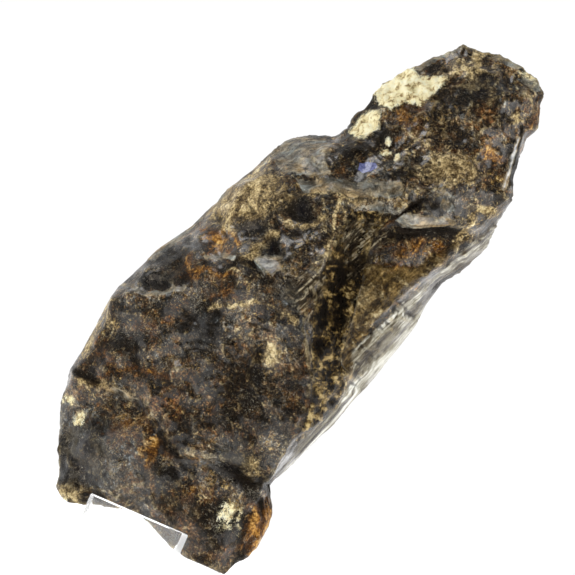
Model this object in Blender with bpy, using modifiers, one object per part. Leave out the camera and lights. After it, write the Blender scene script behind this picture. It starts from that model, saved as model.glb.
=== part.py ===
"""A broken piece of resin opal (wood opal) that leans on a bent clear acrylic stand.

Metres, +Z up. The origin is the middle of the stand's underside, and the stand's lip faces -Y.
The stone is shaped in a frame of its own, in millimetres: x to the right across its front, z up
along its front, and y the depth behind the middle plane, so the front has negative depths.
"""
from itertools import product
from math import cos, radians, sin, tan

import bmesh
import bpy
import numpy as np
from mathutils import Euler, Vector
from mathutils.geometry import delaunay_2d_cdt

MM = 0.001

# Stand, one strip of acrylic sheet with two bends and a narrower rest, in millimetres
SHEET = 4.0
STRIP_WIDTH = 27.2
FOOT_FRONT = -23.6
FOOT_BACK = 23.75
NECK_FRONT = 8.0
NECK_BACK = 15.0
REST_WIDTH = 12.0
LIP_HEIGHT = 9.7
REST_HEIGHT = 36.0
REST_LEAN = radians(15.0)
BEND_RADIUS = 5.0
BEND_STEPS = 8
EDGE_ROUND = 0.4
GAP = 0.3

# How the stone stands on the stand: its turns and the place of its own origin, in millimetres
STONE_TURN = Euler((radians(2.0), radians(-23.5), radians(24.0)), "YXZ")
STONE_PLACE = Vector((1.55, 2.4, 76.3))
STONE_TRIANGLES = 9000
SPINE = ((-33.0, 0.0, -46.0), (44.0, 3.0, 40.0))
RAY_REACH = 75.0
# Waves and flat chips of the broken surface, each (height, size, seed), how far it lies inside
# the faces, and the waves that make the edges of the front faces wander
WAVES = ((0.35, 10.0, 3), (0.25, 4.5, 4), (0.3, 2.4, 9))
CHIPS = ((0.9, 15.0, 6), (0.6, 7.0, 7))
INSET = 0.3
WANDER_X = ((1.0, 5.5, 21), (0.5, 2.2, 22))
WANDER_Z = ((1.0, 5.5, 24), (0.5, 2.2, 25))

# Hollows and swellings of the front, each (x, z, half width, half height, turn, depth)
DENTS = [
    (3.9, 19.2, 2.6, 2.6, 20, 1.8), (-9.4, 15.8, 2.4, 1.5, 30, 1.5), (-31, 8, 3, 1.5, 20, 1.2),
    (-32.5, 2.6, 3.8, 1.2, 5, 1.3), (-3, 9, 1.6, 2.4, 15, 1.2), (2, 14, 2.4, 1.2, 0, 0.9),
    (-41, -12, 3, 1.2, 20, 0.9), (38, 47.5, 2.2, 1.6, 0, 0.8), (-10, -47.4, 3, 1, -20, 1.4),
    (-23, -48.5, 3, 1.6, 10, 0.8), (15, 34, 3, 1.9, 0, -1.4), (-54.6, -50.8, 3, 2.4, 20, -1.6),
    (-34, -39, 3, 4, -20, -0.9), (28, 50, 6, 3, 15, -1.0), (21.5, 43, 2, 2.2, 0, -0.9),
    (5, 36, 5, 3, 0, -1.0), (-20, 9, 3, 2, 10, -0.8), (-37.5, -6.5, 3, 2, 20, -0.7)]

# Corners of the broken faces, each (x, z, depth). The outline is where front and back meet.
OUTLINE = [
    (44, 61.4, 3), (35, 57.9, 3), (31, 54.9, 3), (24, 51.9, 5), (21.6, 48.5, 3), (20.4, 45.6, 2),
    (15.8, 43, 3), (14.2, 40, 1), (12, 38, 1), (5.6, 38.7, 3), (-1, 36.9, 2), (-4.6, 33.9, 1),
    (-11.4, 27.9, 2), (-15.6, 24.9, 1), (-18.2, 21.9, 0), (-24.6, 15.9, 1), (-32.6, 9.9, 0),
    (-39, 3.9, -1), (-42.4, 1, -1), (-44.6, -2.1, -2), (-49, -11.1, -2), (-54.4, -20.1, -3),
    (-57.4, -29, -3), (-57.9, -38, -3), (-57.9, -49.5, -5), (-55.4, -53.4, -7), (-51.9, -54.3, -8),
    (-42, -54.6, -11), (-38.4, -55, -12), (-35, -57.9, -13), (-28.4, -64.6, -15),
    (-24.4, -67.3, -16), (-20.2, -69.4, -17), (-16.3, -72.8, -17), (-14.4, -70.8, -15),
    (-11.4, -68.1, -12), (-7.6, -65.1, -9), (-5.2, -61, -8), (-3.5, -56, -7), (-3.6, -52.5, -5),
    (-4.6, -49.8, -2), (-1.6, -47.1, 4), (5, -41.1, 8), (11.6, -35.1, 10), (19.1, -26.1, 11),
    (26.9, -17.1, 11), (33.1, -8.1, 11), (39.6, 0.9, 10), (44.4, 3.9, 8), (50.6, 9.9, 6),
    (53.4, 15.9, 4), (56.4, 21.9, 3), (57, 28, 2), (59.2, 33.9, 2), (60, 37, 1), (63, 40, 0),
    (63.1, 46, 2), (64, 49, 1), (62.1, 52, 0), (58.9, 55, 1), (53.4, 58.2, 2), (47, 60.2, 3)]

FRONT_EDGES = {
    "right edge of the main face": [
        (17.5, 18.6, -20), (14.4, 15.6, -23), (11.4, 11.9, -25), (8.6, 6.4, -26.5),
        (6.9, -0.6, -27.5), (5.6, -7.6, -28), (5.4, -15.6, -28), (6.2, -23, -27),
        (4.2, -29.4, -26.5), (0.6, -38, -25), (-3.4, -45.5, -22)],
    "foot of the wall beside it": [
        (19.5, 15, -13), (17, 10, -12.5), (14, 4, -13), (12.5, -2, -13.5), (12, -9, -13.5),
        (12.3, -16, -14.5), (13.2, -22, -15), (11.5, -28, -16), (6.5, -34, -18.5)],
    "inner edge of the right face": [
        (21.5, 7, -13), (18.1, -1, -15), (16.6, -5.4, -15), (15.2, -10.5, -14.5),
        (14.3, -15, -13.5)],
    "fold to the streaked side": [
        (46, 13, -6), (41, 9, -7.5), (33, 2, -9), (26, -4, -10), (20.5, -9.5, -11),
        (14.3, -15, -13.5)],
    "shelf under the upper mass": [
        (17.5, 18.6, -20), (22, 18.8, -20), (27.4, 18.2, -20), (29.5, 15.8, -19),
        (36, 15.2, -17), (41, 15, -14), (45, 16.5, -11.5), (51, 19, -9)],
    "foot of the shelf": [
        (19.5, 15, -12), (24, 16.4, -13), (28.4, 14.2, -12), (36, 13.6, -10),
        (41.5, 13.3, -8.5), (46, 13, -6)],
    "edge of the right end": [
        (59.2, 39, -5), (57.5, 34, -6), (56, 29, -7), (54.4, 24, -8), (51, 19, -9)],
    "upper edge of the main face": [
        (-44, -3, -10), (-38, -1, -14.5), (-30, -1, -18), (-24.5, 0.5, -19.5), (-20, 3.2, -21),
        (-15.5, 4.5, -22.5), (-12.5, 6.6, -23.5), (-8.5, 5, -25), (-3.5, 2.4, -26.5),
        (1, 5.2, -26.5), (8.6, 6.4, -26.5)],
    "front edge of the shoulder": [
        (-10.6, 26.4, -9), (-4, 25, -15), (0, 23.6, -18), (5, 24, -19), (10, 24.4, -19),
        (17, 23.5, -20), (27, 23, -20)],
    "back edge of the shoulder": [
        (-4, 29.5, -9), (3, 29.8, -12), (10, 30, -14), (16, 29, -15), (24, 30, -15)],
    "long ledge": [
        (-53.5, -20.8, -9), (-47, -23.5, -14), (-40, -25.5, -16.5), (-34.6, -27.4, -18.5),
        (-30.9, -36.4, -20.5), (-27.4, -39.9, -22), (-17.9, -42.9, -24), (-10.6, -45.4, -24.5),
        (-6.4, -47.6, -23)],
    "foot of the long ledge": [
        (-47.4, -24.8, -12.6), (-40.5, -27, -15), (-36.2, -29, -16.5), (-32.6, -37.4, -18),
        (-28.5, -41.6, -19.3), (-18.5, -44.6, -20.3), (-11, -47.3, -19.5), (-6.4, -50.2, -17)],
    "edge of the smooth corner": [
        (-52.5, -27, -9), (-48, -34, -13.5), (-43.5, -42, -15), (-41, -50, -15)],
    "crack in the lower lobe": [
        (-10.5, -50.5, -19), (-8.2, -55, -16), (-8, -60, -14.5)]}

FRONT_CORNERS = [
    (-27, 9, -11), (-20, 14, -11), (-24, 6, -16.5), (-35, 5, -9), (-14, 12, -18), (-5, 12, -21.5),
    (3, 13, -23.5), (-8, 18, -18), (3.5, 19, -21), (-15, 19, -12), (-45.5, -9, -10),
    (-50, -16, -9), (-40, -10, -15), (-25, -12, -20.5), (-8, -20, -25.5), (-30, -28, -20.5),
    (-8, -38, -25.5), (2, 32, -9), (10, 34, -10), (17, 36, -9), (22, 40, -7), (30, 33, -14),
    (40, 25, -17), (48, 33, -12), (50, 24, -11), (33, 43, -9), (45, 45, -9), (55, 47, -7),
    (28, 49, -2), (37, 52, -3), (44, 56, -3), (52, 54, -3), (60, 47, -4), (30, 8, -11.5),
    (24, -1, -12.5), (25, 8, -12), (-38, -36, -16.5), (-52, -42, -9.5), (-51, -50, -9),
    (-36, -50, -17), (-26, -50, -20), (-30, -58, -17.5), (-18, -52, -21), (-20, -60, -20.5),
    (-17, -67, -18.5), (-7, -63, -12.5), (-6, -56, -13.5), (18, -20, -3), (10, -32, -10),
    (29, -8, -1), (38, 4, -2), (45, 8, -2), (0, -42, -16), (23, -13, -5)]

BACK_EDGES = {
    "back ridge": [
        (-44, -38, 14), (-30, -24, 21), (-8, -6, 25), (14, 14, 26), (32, 34, 23), (44, 48, 17)],
    "lower branch of the ridge": [(-8, -6, 25), (-4, -22, 24), (0, -34, 20)],
    "upper branch of the ridge": [(14, 14, 26), (4, 24, 18), (3, 33, 10)]}

BACK_CORNERS = [
    (-48, -20, 8), (-36, -4, 10), (-24, 8, 11), (-12, 18, 13), (-16, 4, 19), (24, 42, 12),
    (34, 50, 11), (54, 50, 10), (56, 42, 11), (50, 30, 15), (46, 16, 16), (36, 8, 19),
    (26, -6, 20), (14, -20, 20), (-50, -48, 7), (-36, -49, 17), (-18, -67.8, 14), (-27.2, -64.5, 14),
    (-31, -61, 14), (-34, -56.5, 14), (-12, -65.5, 12), (-9, -56, 17), (-16, -44, 23),
    (-24, -55, 21), (-46, -51, 9)]

# Grid over the front that the depths are worked out on
GRID_STEP = 0.5
GRID_X = np.arange(-62.0, 68.0, GRID_STEP)
GRID_Z = np.arange(-76.0, 66.0, GRID_STEP)


def facet_depths(edges, corners):
    """Depth over the grid of the flat faces that join the outline, the edges and the corners."""
    places = list(OUTLINE)
    links = [(i, (i + 1) % len(OUTLINE)) for i in range(len(OUTLINE))]
    for edge in edges.values():
        links += [(len(places) + i, len(places) + i + 1) for i in range(len(edge) - 1)]
        places += edge
    places += corners
    plan = [Vector(place[:2]) for place in places]
    verts, _, faces, sources, _, _ = delaunay_2d_cdt(plan, links, [], 0, 1e-4)
    depths = [np.mean([places[i][2] for i in source]) for source in sources]
    x, z = np.meshgrid(GRID_X, GRID_Z)
    result = np.zeros(x.shape)
    for a, b, c in faces:
        across, along = verts[b] - verts[a], verts[c] - verts[a]
        area = across.cross(along)
        if abs(area) < 1e-6:
            continue
        u = ((x - verts[a].x) * along.y - (z - verts[a].y) * along.x) / area
        v = ((z - verts[a].y) * across.x - (x - verts[a].x) * across.y) / area
        within = (u >= -1e-6) & (v >= -1e-6) & (u + v <= 1.0 + 1e-6)
        face = depths[a] + u * (depths[b] - depths[a]) + v * (depths[c] - depths[a])
        result[within] = face[within]
    return result


def outline_sign():
    """1 inside the outline and 0 outside it, over the grid, by counting crossed sides."""
    x, z = np.meshgrid(GRID_X, GRID_Z)
    inside = np.zeros(x.shape, bool)
    for (x0, z0, _), (x1, z1, _) in zip(OUTLINE, OUTLINE[1:] + OUTLINE[:1]):
        if z0 != z1:
            inside ^= ((z0 > z) != (z1 > z)) & (x < x0 + (x1 - x0) * (z - z0) / (z1 - z0))
    return inside.astype(float)


def look_up(grid, x, z):
    """Value of a grid at any places, smooth between its points."""
    column = np.clip((x - GRID_X[0]) / GRID_STEP, 0, len(GRID_X) - 1.001)
    row = np.clip((z - GRID_Z[0]) / GRID_STEP, 0, len(GRID_Z) - 1.001)
    i, j = column.astype(int), row.astype(int)
    s, t = column - i, row - j
    low = grid[j, i] * (1 - s) + grid[j, i + 1] * s
    high = grid[j + 1, i] * (1 - s) + grid[j + 1, i + 1] * s
    return low * (1 - t) + high * t


def smooth(value):
    """Smooth rise from 0 to 1 as the value goes from 0 to 1."""
    value = np.clip(value, 0.0, 1.0)
    return value * value * (3.0 - 2.0 * value)


def noise(points, size, seed):
    """Smooth random field from -1 to 1 with lumps about one size across."""
    table = np.random.default_rng(seed).uniform(-1.0, 1.0, (32, 32, 32))
    cell = np.floor(points / size).astype(int)
    part = smooth(points / size - cell)
    total = np.zeros(len(points))
    for corner in product((0, 1), repeat=3):
        weight = np.prod(np.where(corner, part, 1.0 - part), axis=1)
        i, j, k = ((cell + corner) % 32).T
        total += weight * table[i, j, k]
    return total


def chips(points, size, seed):
    """Flat chips with random tilts: each place takes its height from the nearest chip's centre."""
    random = np.random.default_rng(seed)
    shift = random.uniform(-0.4, 0.4, (32, 32, 32, 3))
    tilt = random.uniform(-1.0, 1.0, (32, 32, 32, 3))
    cell = np.floor(points / size).astype(int)
    nearest, second = np.full((2, len(points)), np.inf)
    height = np.zeros(len(points))
    for neighbour in product((-1, 0, 1), repeat=3):
        i, j, k = ((cell + neighbour) % 32).T
        away = points / size - (cell + neighbour + 0.5 + shift[i, j, k])
        distance = (away ** 2).sum(axis=1)
        nearer = distance < nearest
        second = np.where(nearer, nearest, np.minimum(second, distance))
        nearest[nearer] = distance[nearer]
        height[nearer] = (away * tilt[i, j, k]).sum(axis=1)[nearer]
    return height * smooth((second - nearest) / 0.12)


def front_depths():
    """Depth of the front over the grid: wandering faces with the dents sunk into them."""
    x, z = np.meshgrid(GRID_X, GRID_Z)
    places = np.stack((x.ravel(), np.zeros(x.size), z.ravel()), axis=1)
    x = x + sum(far * noise(places, size, seed) for far, size, seed in WANDER_X).reshape(x.shape)
    z = z + sum(far * noise(places, size, seed) for far, size, seed in WANDER_Z).reshape(z.shape)
    result = look_up(facet_depths(FRONT_EDGES, FRONT_CORNERS), x, z)
    for middle_x, middle_z, half_width, half_height, turn, depth in DENTS:
        c, s = cos(radians(turn)), sin(radians(turn))
        u = ((x - middle_x) * c + (z - middle_z) * s) / half_width
        v = ((z - middle_z) * c - (x - middle_x) * s) / half_height
        result += depth * smooth(1.25 - 0.9 * np.hypot(u, v))
    return result


def stone_surface(directions):
    """Where rays that leave the spine in the given directions come out of the stone."""
    front = front_depths()
    back = facet_depths(BACK_EDGES, BACK_CORNERS)
    within = outline_sign()
    low, high = (np.array(end) for end in SPINE)
    axis = (high - low) / np.linalg.norm(high - low)
    start = (low + high) / 2 + np.outer(directions @ axis, (high - low) / 2)

    def solid(distance):
        x, y, z = (start + directions * distance[:, None]).T
        deep = (y > look_up(front, x, z)) & (y < look_up(back, x, z))
        return deep & (look_up(within, x, z) > 0.5)

    reach = np.zeros(len(directions))
    step = 1.0
    going = np.ones(len(directions), bool)
    for _ in range(int(RAY_REACH / step)):
        going &= solid(reach + step)
        reach[going] += step
    for _ in range(9):
        step /= 2
        further = solid(reach + step)
        reach[further] += step
    points = start + directions * reach[:, None]
    rough = sum(height * noise(points, size, seed) for height, size, seed in WAVES)
    rough += sum(height * chips(points, size, seed) for height, size, seed in CHIPS)
    reach -= INSET + rough

    up = np.array(STONE_TURN.to_matrix())[2]
    floor = SHEET + GAP - STONE_PLACE.z
    falling = directions @ up < -1e-3
    limit = (floor - start[falling] @ up) / (directions[falling] @ up)
    reach[falling] = np.minimum(reach[falling], limit)
    return start + directions * reach[:, None]


def make_stone(material):
    """A sphere whose points are carried out along rays to the broken faces, then thinned."""
    mesh = bpy.data.meshes.new("opal_stone")
    shape = bmesh.new()
    bmesh.ops.create_icosphere(shape, subdivisions=7, radius=1.0)
    shape.to_mesh(mesh)
    shape.free()
    directions = np.empty(len(mesh.vertices) * 3)
    mesh.vertices.foreach_get("co", directions)
    directions = directions.reshape(-1, 3)
    points = stone_surface(directions)
    mesh.vertices.foreach_set("co", (points * MM).ravel())
    stone = bpy.data.objects.new("opal_stone", mesh)
    stone.rotation_mode = "YXZ"
    stone.rotation_euler = STONE_TURN
    stone.location = STONE_PLACE * MM
    mesh.materials.append(material)
    worn = stone.modifiers.new("worn edges", "SMOOTH")
    worn.factor = 0.5
    worn.iterations = 2
    thin = stone.modifiers.new("thin", "DECIMATE")
    thin.ratio = STONE_TRIANGLES / len(mesh.polygons)
    mesh.shade_smooth()
    return stone


def bend(before, corner, after):
    """Points round a bend, in place of its sharp corner."""
    back, ahead = (before - corner).normalized(), (after - corner).normalized()
    half = back.angle(ahead) / 2
    centre = corner + (back + ahead).normalized() * BEND_RADIUS / sin(half)
    first = corner + back * BEND_RADIUS / tan(half) - centre
    last = corner + ahead * BEND_RADIUS / tan(half) - centre
    steps = [i / BEND_STEPS for i in range(BEND_STEPS + 1)]
    return [centre + first.lerp(last, step).normalized() * BEND_RADIUS for step in steps]


def strip_line():
    """The strip's outer side from the lip's top to the rest's top, as (y, z) and half width."""
    lip_top = Vector((FOOT_FRONT, LIP_HEIGHT))
    front, rear = Vector((FOOT_FRONT, 0.0)), Vector((FOOT_BACK, 0.0))
    rest_top = Vector((FOOT_BACK + REST_HEIGHT * tan(REST_LEAN), REST_HEIGHT))
    wide = [lip_top] + bend(lip_top, front, rear) + [Vector((NECK_FRONT, 0.0))]
    narrow = [Vector((NECK_BACK, 0.0))] + bend(front, rear, rest_top) + [rest_top]
    return ([(place, STRIP_WIDTH / 2) for place in wide]
            + [(place, REST_WIDTH / 2) for place in narrow])


def make_stand(material):
    """An open strip along its bent line, given its thickness, with its cut edges eased."""
    mesh = bpy.data.meshes.new("acrylic_stand")
    shape = bmesh.new()
    rows = [[shape.verts.new(Vector((x, place.x, place.y)) * MM) for x in (-half, half)]
            for place, half in strip_line()]
    for (left, right), (next_left, next_right) in zip(rows, rows[1:]):
        shape.faces.new((left, right, next_right, next_left))
    shape.to_mesh(mesh)
    shape.free()
    mesh.materials.append(material)
    stand = bpy.data.objects.new("acrylic_stand", mesh)
    sheet = stand.modifiers.new("sheet", "SOLIDIFY")
    sheet.thickness = SHEET * MM
    sheet.offset = 1.0
    sheet.use_even_offset = True
    eased = stand.modifiers.new("eased edges", "BEVEL")
    eased.width = EDGE_ROUND * MM
    eased.segments = 2
    eased.limit_method = "ANGLE"
    eased.angle_limit = radians(50.0)
    mesh.shade_smooth()
    return stand


def make_material(name, colour, roughness, transmission=0.0):
    """One Principled finish."""
    material = bpy.data.materials.new(name)
    material.use_nodes = True
    shader = material.node_tree.nodes["Principled BSDF"]
    shader.inputs["Base Color"].default_value = (*colour, 1.0)
    shader.inputs["Roughness"].default_value = roughness
    shader.inputs["Metallic"].default_value = 0.0
    shader.inputs["Transmission Weight"].default_value = transmission
    return material


for item in list(bpy.data.objects):
    bpy.data.objects.remove(item)
group = bpy.data.collections.new("resin_opal_specimen")
bpy.context.scene.collection.children.link(group)
opal = make_material("resin opal", (0.10, 0.075, 0.055), 0.3)
acrylic = make_material("clear acrylic", (0.95, 0.97, 0.97), 0.03, transmission=1.0)
group.objects.link(make_stone(opal))
group.objects.link(make_stand(acrylic))
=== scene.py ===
from itertools import product
from math import cos, pi, radians, sin, sqrt

import bpy
import numpy as np
from mathutils import Euler, Matrix, Vector
from mathutils.geometry import delaunay_2d_cdt


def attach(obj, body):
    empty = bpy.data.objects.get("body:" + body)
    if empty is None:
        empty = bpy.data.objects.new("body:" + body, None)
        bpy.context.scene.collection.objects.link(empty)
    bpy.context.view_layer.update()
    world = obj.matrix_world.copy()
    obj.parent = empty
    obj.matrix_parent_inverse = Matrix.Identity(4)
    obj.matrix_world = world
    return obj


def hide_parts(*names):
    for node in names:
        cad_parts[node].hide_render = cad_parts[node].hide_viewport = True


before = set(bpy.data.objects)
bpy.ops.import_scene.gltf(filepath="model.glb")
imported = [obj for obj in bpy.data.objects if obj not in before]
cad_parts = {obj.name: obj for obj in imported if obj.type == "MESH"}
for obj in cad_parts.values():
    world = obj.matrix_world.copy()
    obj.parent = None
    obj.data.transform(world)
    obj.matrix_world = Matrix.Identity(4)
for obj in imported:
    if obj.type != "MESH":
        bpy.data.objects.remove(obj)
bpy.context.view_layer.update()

MM = 0.001

# ---------------------------------------------------------------------------------------------
# Camera: it looks square on to the stone's own front plane, so it is turned and tipped as the
# stone is, from far enough away that the stone is seen almost without perspective.
# ---------------------------------------------------------------------------------------------
STONE_TURN = Euler((radians(2.0), radians(-23.5), radians(24.0)), "YXZ").to_matrix()
STONE_PLACE = Vector((1.55, 2.4, 76.3))
VIEW_DISTANCE = 1800.0
VIEW_WIDTH = 143.75
SENSOR = 36.0

camera = bpy.data.objects.new("camera", bpy.data.cameras.new("camera"))
camera.data.sensor_width = SENSOR
camera.data.lens = SENSOR * VIEW_DISTANCE / VIEW_WIDTH
camera.data.clip_start = 0.05
camera.data.clip_end = 60.0
right, back, up = (STONE_TURN.col[i] for i in range(3))
axes = Matrix((right, up, -back)).transposed()
camera.matrix_world = Matrix.Translation((STONE_PLACE - back * VIEW_DISTANCE) * MM) @ axes.to_4x4()
bpy.context.scene.collection.objects.link(camera)
bpy.context.scene.camera = camera

# ---------------------------------------------------------------------------------------------
# Studio: a wide white floor, white walls of light all round, and a dark wall behind the camera
# that keeps the stone's front face from turning milky.
# ---------------------------------------------------------------------------------------------
FLOOR_SIZE = 40.0
WALL_LIGHT = 1.02
DARK_WALL = 0.02

floor_mesh = bpy.data.meshes.new("floor")
half = FLOOR_SIZE / 2
floor_mesh.from_pydata([(-half, -half, 0), (half, -half, 0), (half, half, 0), (-half, half, 0)], [],
                       [(0, 1, 2, 3)])
floor = bpy.data.objects.new("floor", floor_mesh)
floor_paint = bpy.data.materials.new("white floor")
floor_paint.use_nodes = True
floor_shader = floor_paint.node_tree.nodes["Principled BSDF"]
floor_shader.inputs["Base Color"].default_value = (0.8, 0.8, 0.8, 1.0)
floor_shader.inputs["Roughness"].default_value = 0.8
floor_shader.inputs["Emission Color"].default_value = (1.0, 1.0, 1.0, 1.0)
floor_shader.inputs["Emission Strength"].default_value = 0.95
floor_mesh.materials.append(floor_paint)
bpy.context.scene.collection.objects.link(floor)

world = bpy.data.worlds.new("light tent")
world.use_nodes = True
bpy.context.scene.world = world
nodes, links = world.node_tree.nodes, world.node_tree.links
background = nodes["Background"]
background.inputs["Color"].default_value = (1.0, 1.0, 1.0, 1.0)
direction = nodes.new("ShaderNodeTexCoord")
towards = nodes.new("ShaderNodeVectorMath")
towards.operation = "DOT_PRODUCT"
towards.inputs[1].default_value = -back
wall_light = nodes.new("ShaderNodeMapRange")
wall_light.interpolation_type = "SMOOTHSTEP"
wall_light.inputs["From Min"].default_value = -1.0
wall_light.inputs["From Max"].default_value = 0.6
wall_light.inputs["To Min"].default_value = WALL_LIGHT
wall_light.inputs["To Max"].default_value = DARK_WALL
links.new(direction.outputs["Generated"], towards.inputs[0])
links.new(towards.outputs["Value"], wall_light.inputs["Value"])
links.new(wall_light.outputs["Result"], background.inputs["Strength"])


def soft_light(name, place, aim, size, power):
    """A square soft box at a place in millimetres, aimed at another."""
    lamp = bpy.data.lights.new(name, "AREA")
    lamp.size = size * MM
    lamp.energy = power
    holder = bpy.data.objects.new(name, lamp)
    holder.location = Vector(place) * MM
    aim_along = (Vector(aim) - Vector(place)).to_track_quat("-Z", "Y")
    holder.rotation_mode = "QUATERNION"
    holder.rotation_quaternion = aim_along
    bpy.context.scene.collection.objects.link(holder)


STONE_MIDDLE = (0, 8, 70)
soft_light("upper left light", (-520, -420, 620), STONE_MIDDLE, 500, 5.5)
soft_light("right light", (620, -60, 260), STONE_MIDDLE, 500, 3.0)

bpy.context.scene.view_settings.view_transform = "Standard"
bpy.context.scene.view_settings.exposure = 0.0

# ---------------------------------------------------------------------------------------------
# Opal stone: one broken lump of resin opal, dark brown glassy opal with ochre, rust and cream
# weathered patches. Its broken faces are flat between their corners, with ledges, pits, cracks
# and small flat chips on them. Shaped in its own frame, in millimetres, as the solid is.
# ---------------------------------------------------------------------------------------------
STONE_STATIONS = 500
STONE_AROUND = 196
SPINE = ((-33.0, 0.0, -46.0), (44.0, 3.0, 40.0))
RAY_REACH = 75.0
INSET = 0.3
# The stone ends just above the foot of the stand, and keeps a gap off the front face of its rest.
# The face has a way and a distance that way from the origin. The stone gives way beside it,
# within a half width and below a level, and less and less over a margin round that. A ray
# that runs nearly along the face is drawn back no further than one at the least slant.
FOOT_CLEAR = 4.3
REST_WAY = np.array((0.0, -0.9659, 0.2588))
REST_FACE = -18.94
REST_GAP = 0.3
REST_HALF, REST_HIGH, REST_MARGIN = 7.5, 38.5, 3.0
LEAST_SLANT = 0.3

OUTLINE = [
    (44, 61.4, 3), (35, 57.9, 3), (31, 54.9, 3), (24, 51.9, 5), (21.6, 48.5, 3), (20.4, 45.6, 2),
    (15.8, 43, 3), (14.2, 40, 1), (12, 38, 1), (5.6, 38.7, 3), (-1, 36.9, 2), (-4.6, 33.9, 1),
    (-11.4, 27.9, 2), (-15.6, 24.9, 1), (-18.2, 21.9, 0), (-24.6, 15.9, 1), (-32.6, 9.9, 0),
    (-39, 3.9, -1), (-42.4, 1, -1), (-44.6, -2.1, -2), (-49, -11.1, -2), (-54.4, -20.1, -3),
    (-57.4, -29, -3), (-57.9, -38, -3), (-57.9, -49.5, -5), (-55.4, -53.4, -7), (-51.9, -54.3, -8),
    (-42, -54.6, -11), (-38.4, -55, -12), (-35, -57.9, -13), (-28.4, -64.6, -15),
    (-24.4, -67.3, -16), (-20.2, -69.4, -17), (-16.3, -72.8, -17), (-14.4, -70.8, -15),
    (-11.4, -68.1, -12), (-7.6, -65.1, -9), (-5.2, -61, -8), (-3.5, -56, -7), (-3.6, -52.5, -5),
    (-4.6, -49.8, -2), (-1.6, -47.1, 4), (5, -41.1, 8), (11.6, -35.1, 10), (19.1, -26.1, 11),
    (26.9, -17.1, 11), (33.1, -8.1, 11), (39.6, 0.9, 10), (44.4, 3.9, 8), (50.6, 9.9, 6),
    (53.4, 15.9, 4), (56.4, 21.9, 3), (57, 28, 2), (59.2, 33.9, 2), (60, 37, 1), (63, 40, 0),
    (63.1, 46, 2), (64, 49, 1), (62.1, 52, 0), (58.9, 55, 1), (53.4, 58.2, 2), (47, 60.2, 3)]

MAIN_EDGE = [
    (17.5, 18.6, -20), (14.4, 15.6, -23), (11.4, 11.9, -25), (8.6, 6.4, -26.5), (6.9, -0.6, -27.5),
    (5.6, -7.6, -28), (5.4, -15.6, -28), (6.2, -23, -27), (4.2, -29.4, -26.5), (0.6, -38, -25),
    (-3.4, -45.5, -22)]
WALL_FOOT = [
    (19.5, 15, -13), (17, 10, -12.5), (14, 4, -13), (12.5, -2, -13.5), (12, -9, -13.5),
    (12.3, -16, -14.5), (13.2, -22, -15), (11.5, -28, -16), (6.5, -34, -18.5)]
RIGHT_FACE_EDGE = [
    (21.5, 7, -13), (18.1, -1, -15), (16.6, -5.4, -15), (15.2, -10.5, -14.5), (14.3, -15, -13.5)]
STREAKED_FOLD = [
    (46, 13, -6), (41, 9, -7.5), (33, 2, -9), (26, -4, -10), (20.5, -9.5, -11), (14.3, -15, -13.5)]
SHELF_EDGE = [
    (17.5, 18.6, -20), (22, 18.8, -20), (27.4, 18.2, -20), (29.5, 15.8, -19), (36, 15.2, -17),
    (41, 15, -14), (45, 16.5, -11.5), (51, 19, -9)]
SHELF_FOOT = [
    (19.5, 15, -12), (24, 16.4, -13), (28.4, 14.2, -12), (36, 13.6, -10), (41.5, 13.3, -8.5),
    (46, 13, -6)]
RIGHT_END_EDGE = [(59.2, 39, -5), (57.5, 34, -6), (56, 29, -7), (54.4, 24, -8), (51, 19, -9)]
UPPER_EDGE = [
    (-44, -3, -10), (-38, -1, -14.5), (-30, -1, -18), (-24.5, 0.5, -19.5), (-20, 3.2, -21),
    (-15.5, 4.5, -22.5), (-12.5, 6.6, -23.5), (-8.5, 5, -25), (-3.5, 2.4, -26.5), (1, 5.2, -26.5),
    (8.6, 6.4, -26.5)]
SHOULDER_FRONT = [
    (-10.6, 26.4, -9), (-4, 25, -15), (0, 23.6, -18), (5, 24, -19), (10, 24.4, -19),
    (17, 23.5, -20), (27, 23, -20)]
SHOULDER_BACK = [(-4, 29.5, -9), (3, 29.8, -12), (10, 30, -14), (16, 29, -15), (24, 30, -15)]
LONG_LEDGE = [
    (-53.5, -20.8, -9), (-47, -23.5, -14), (-40, -25.5, -16.5), (-34.6, -27.4, -18.5),
    (-30.9, -36.4, -20.5), (-27.4, -39.9, -22), (-17.9, -42.9, -24), (-10.6, -45.4, -24.5),
    (-6.4, -47.6, -23)]
LEDGE_FOOT = [
    (-47.4, -24.8, -12.6), (-40.5, -27, -15), (-36.2, -29, -16.5), (-32.6, -37.4, -18),
    (-28.5, -41.6, -19.3), (-18.5, -44.6, -20.3), (-11, -47.3, -19.5), (-6.4, -50.2, -17)]
CORNER_EDGE = [(-52.5, -27, -9), (-48, -34, -13.5), (-43.5, -42, -15), (-41, -50, -15)]
LOBE_CRACK = [(-10.5, -50.5, -19), (-8.2, -55, -16), (-8, -60, -14.5)]
FRONT_EDGES = [
    MAIN_EDGE, WALL_FOOT, RIGHT_FACE_EDGE, STREAKED_FOLD, SHELF_EDGE, SHELF_FOOT, RIGHT_END_EDGE,
    UPPER_EDGE, SHOULDER_FRONT, SHOULDER_BACK, LONG_LEDGE, LEDGE_FOOT, CORNER_EDGE, LOBE_CRACK]
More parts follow.
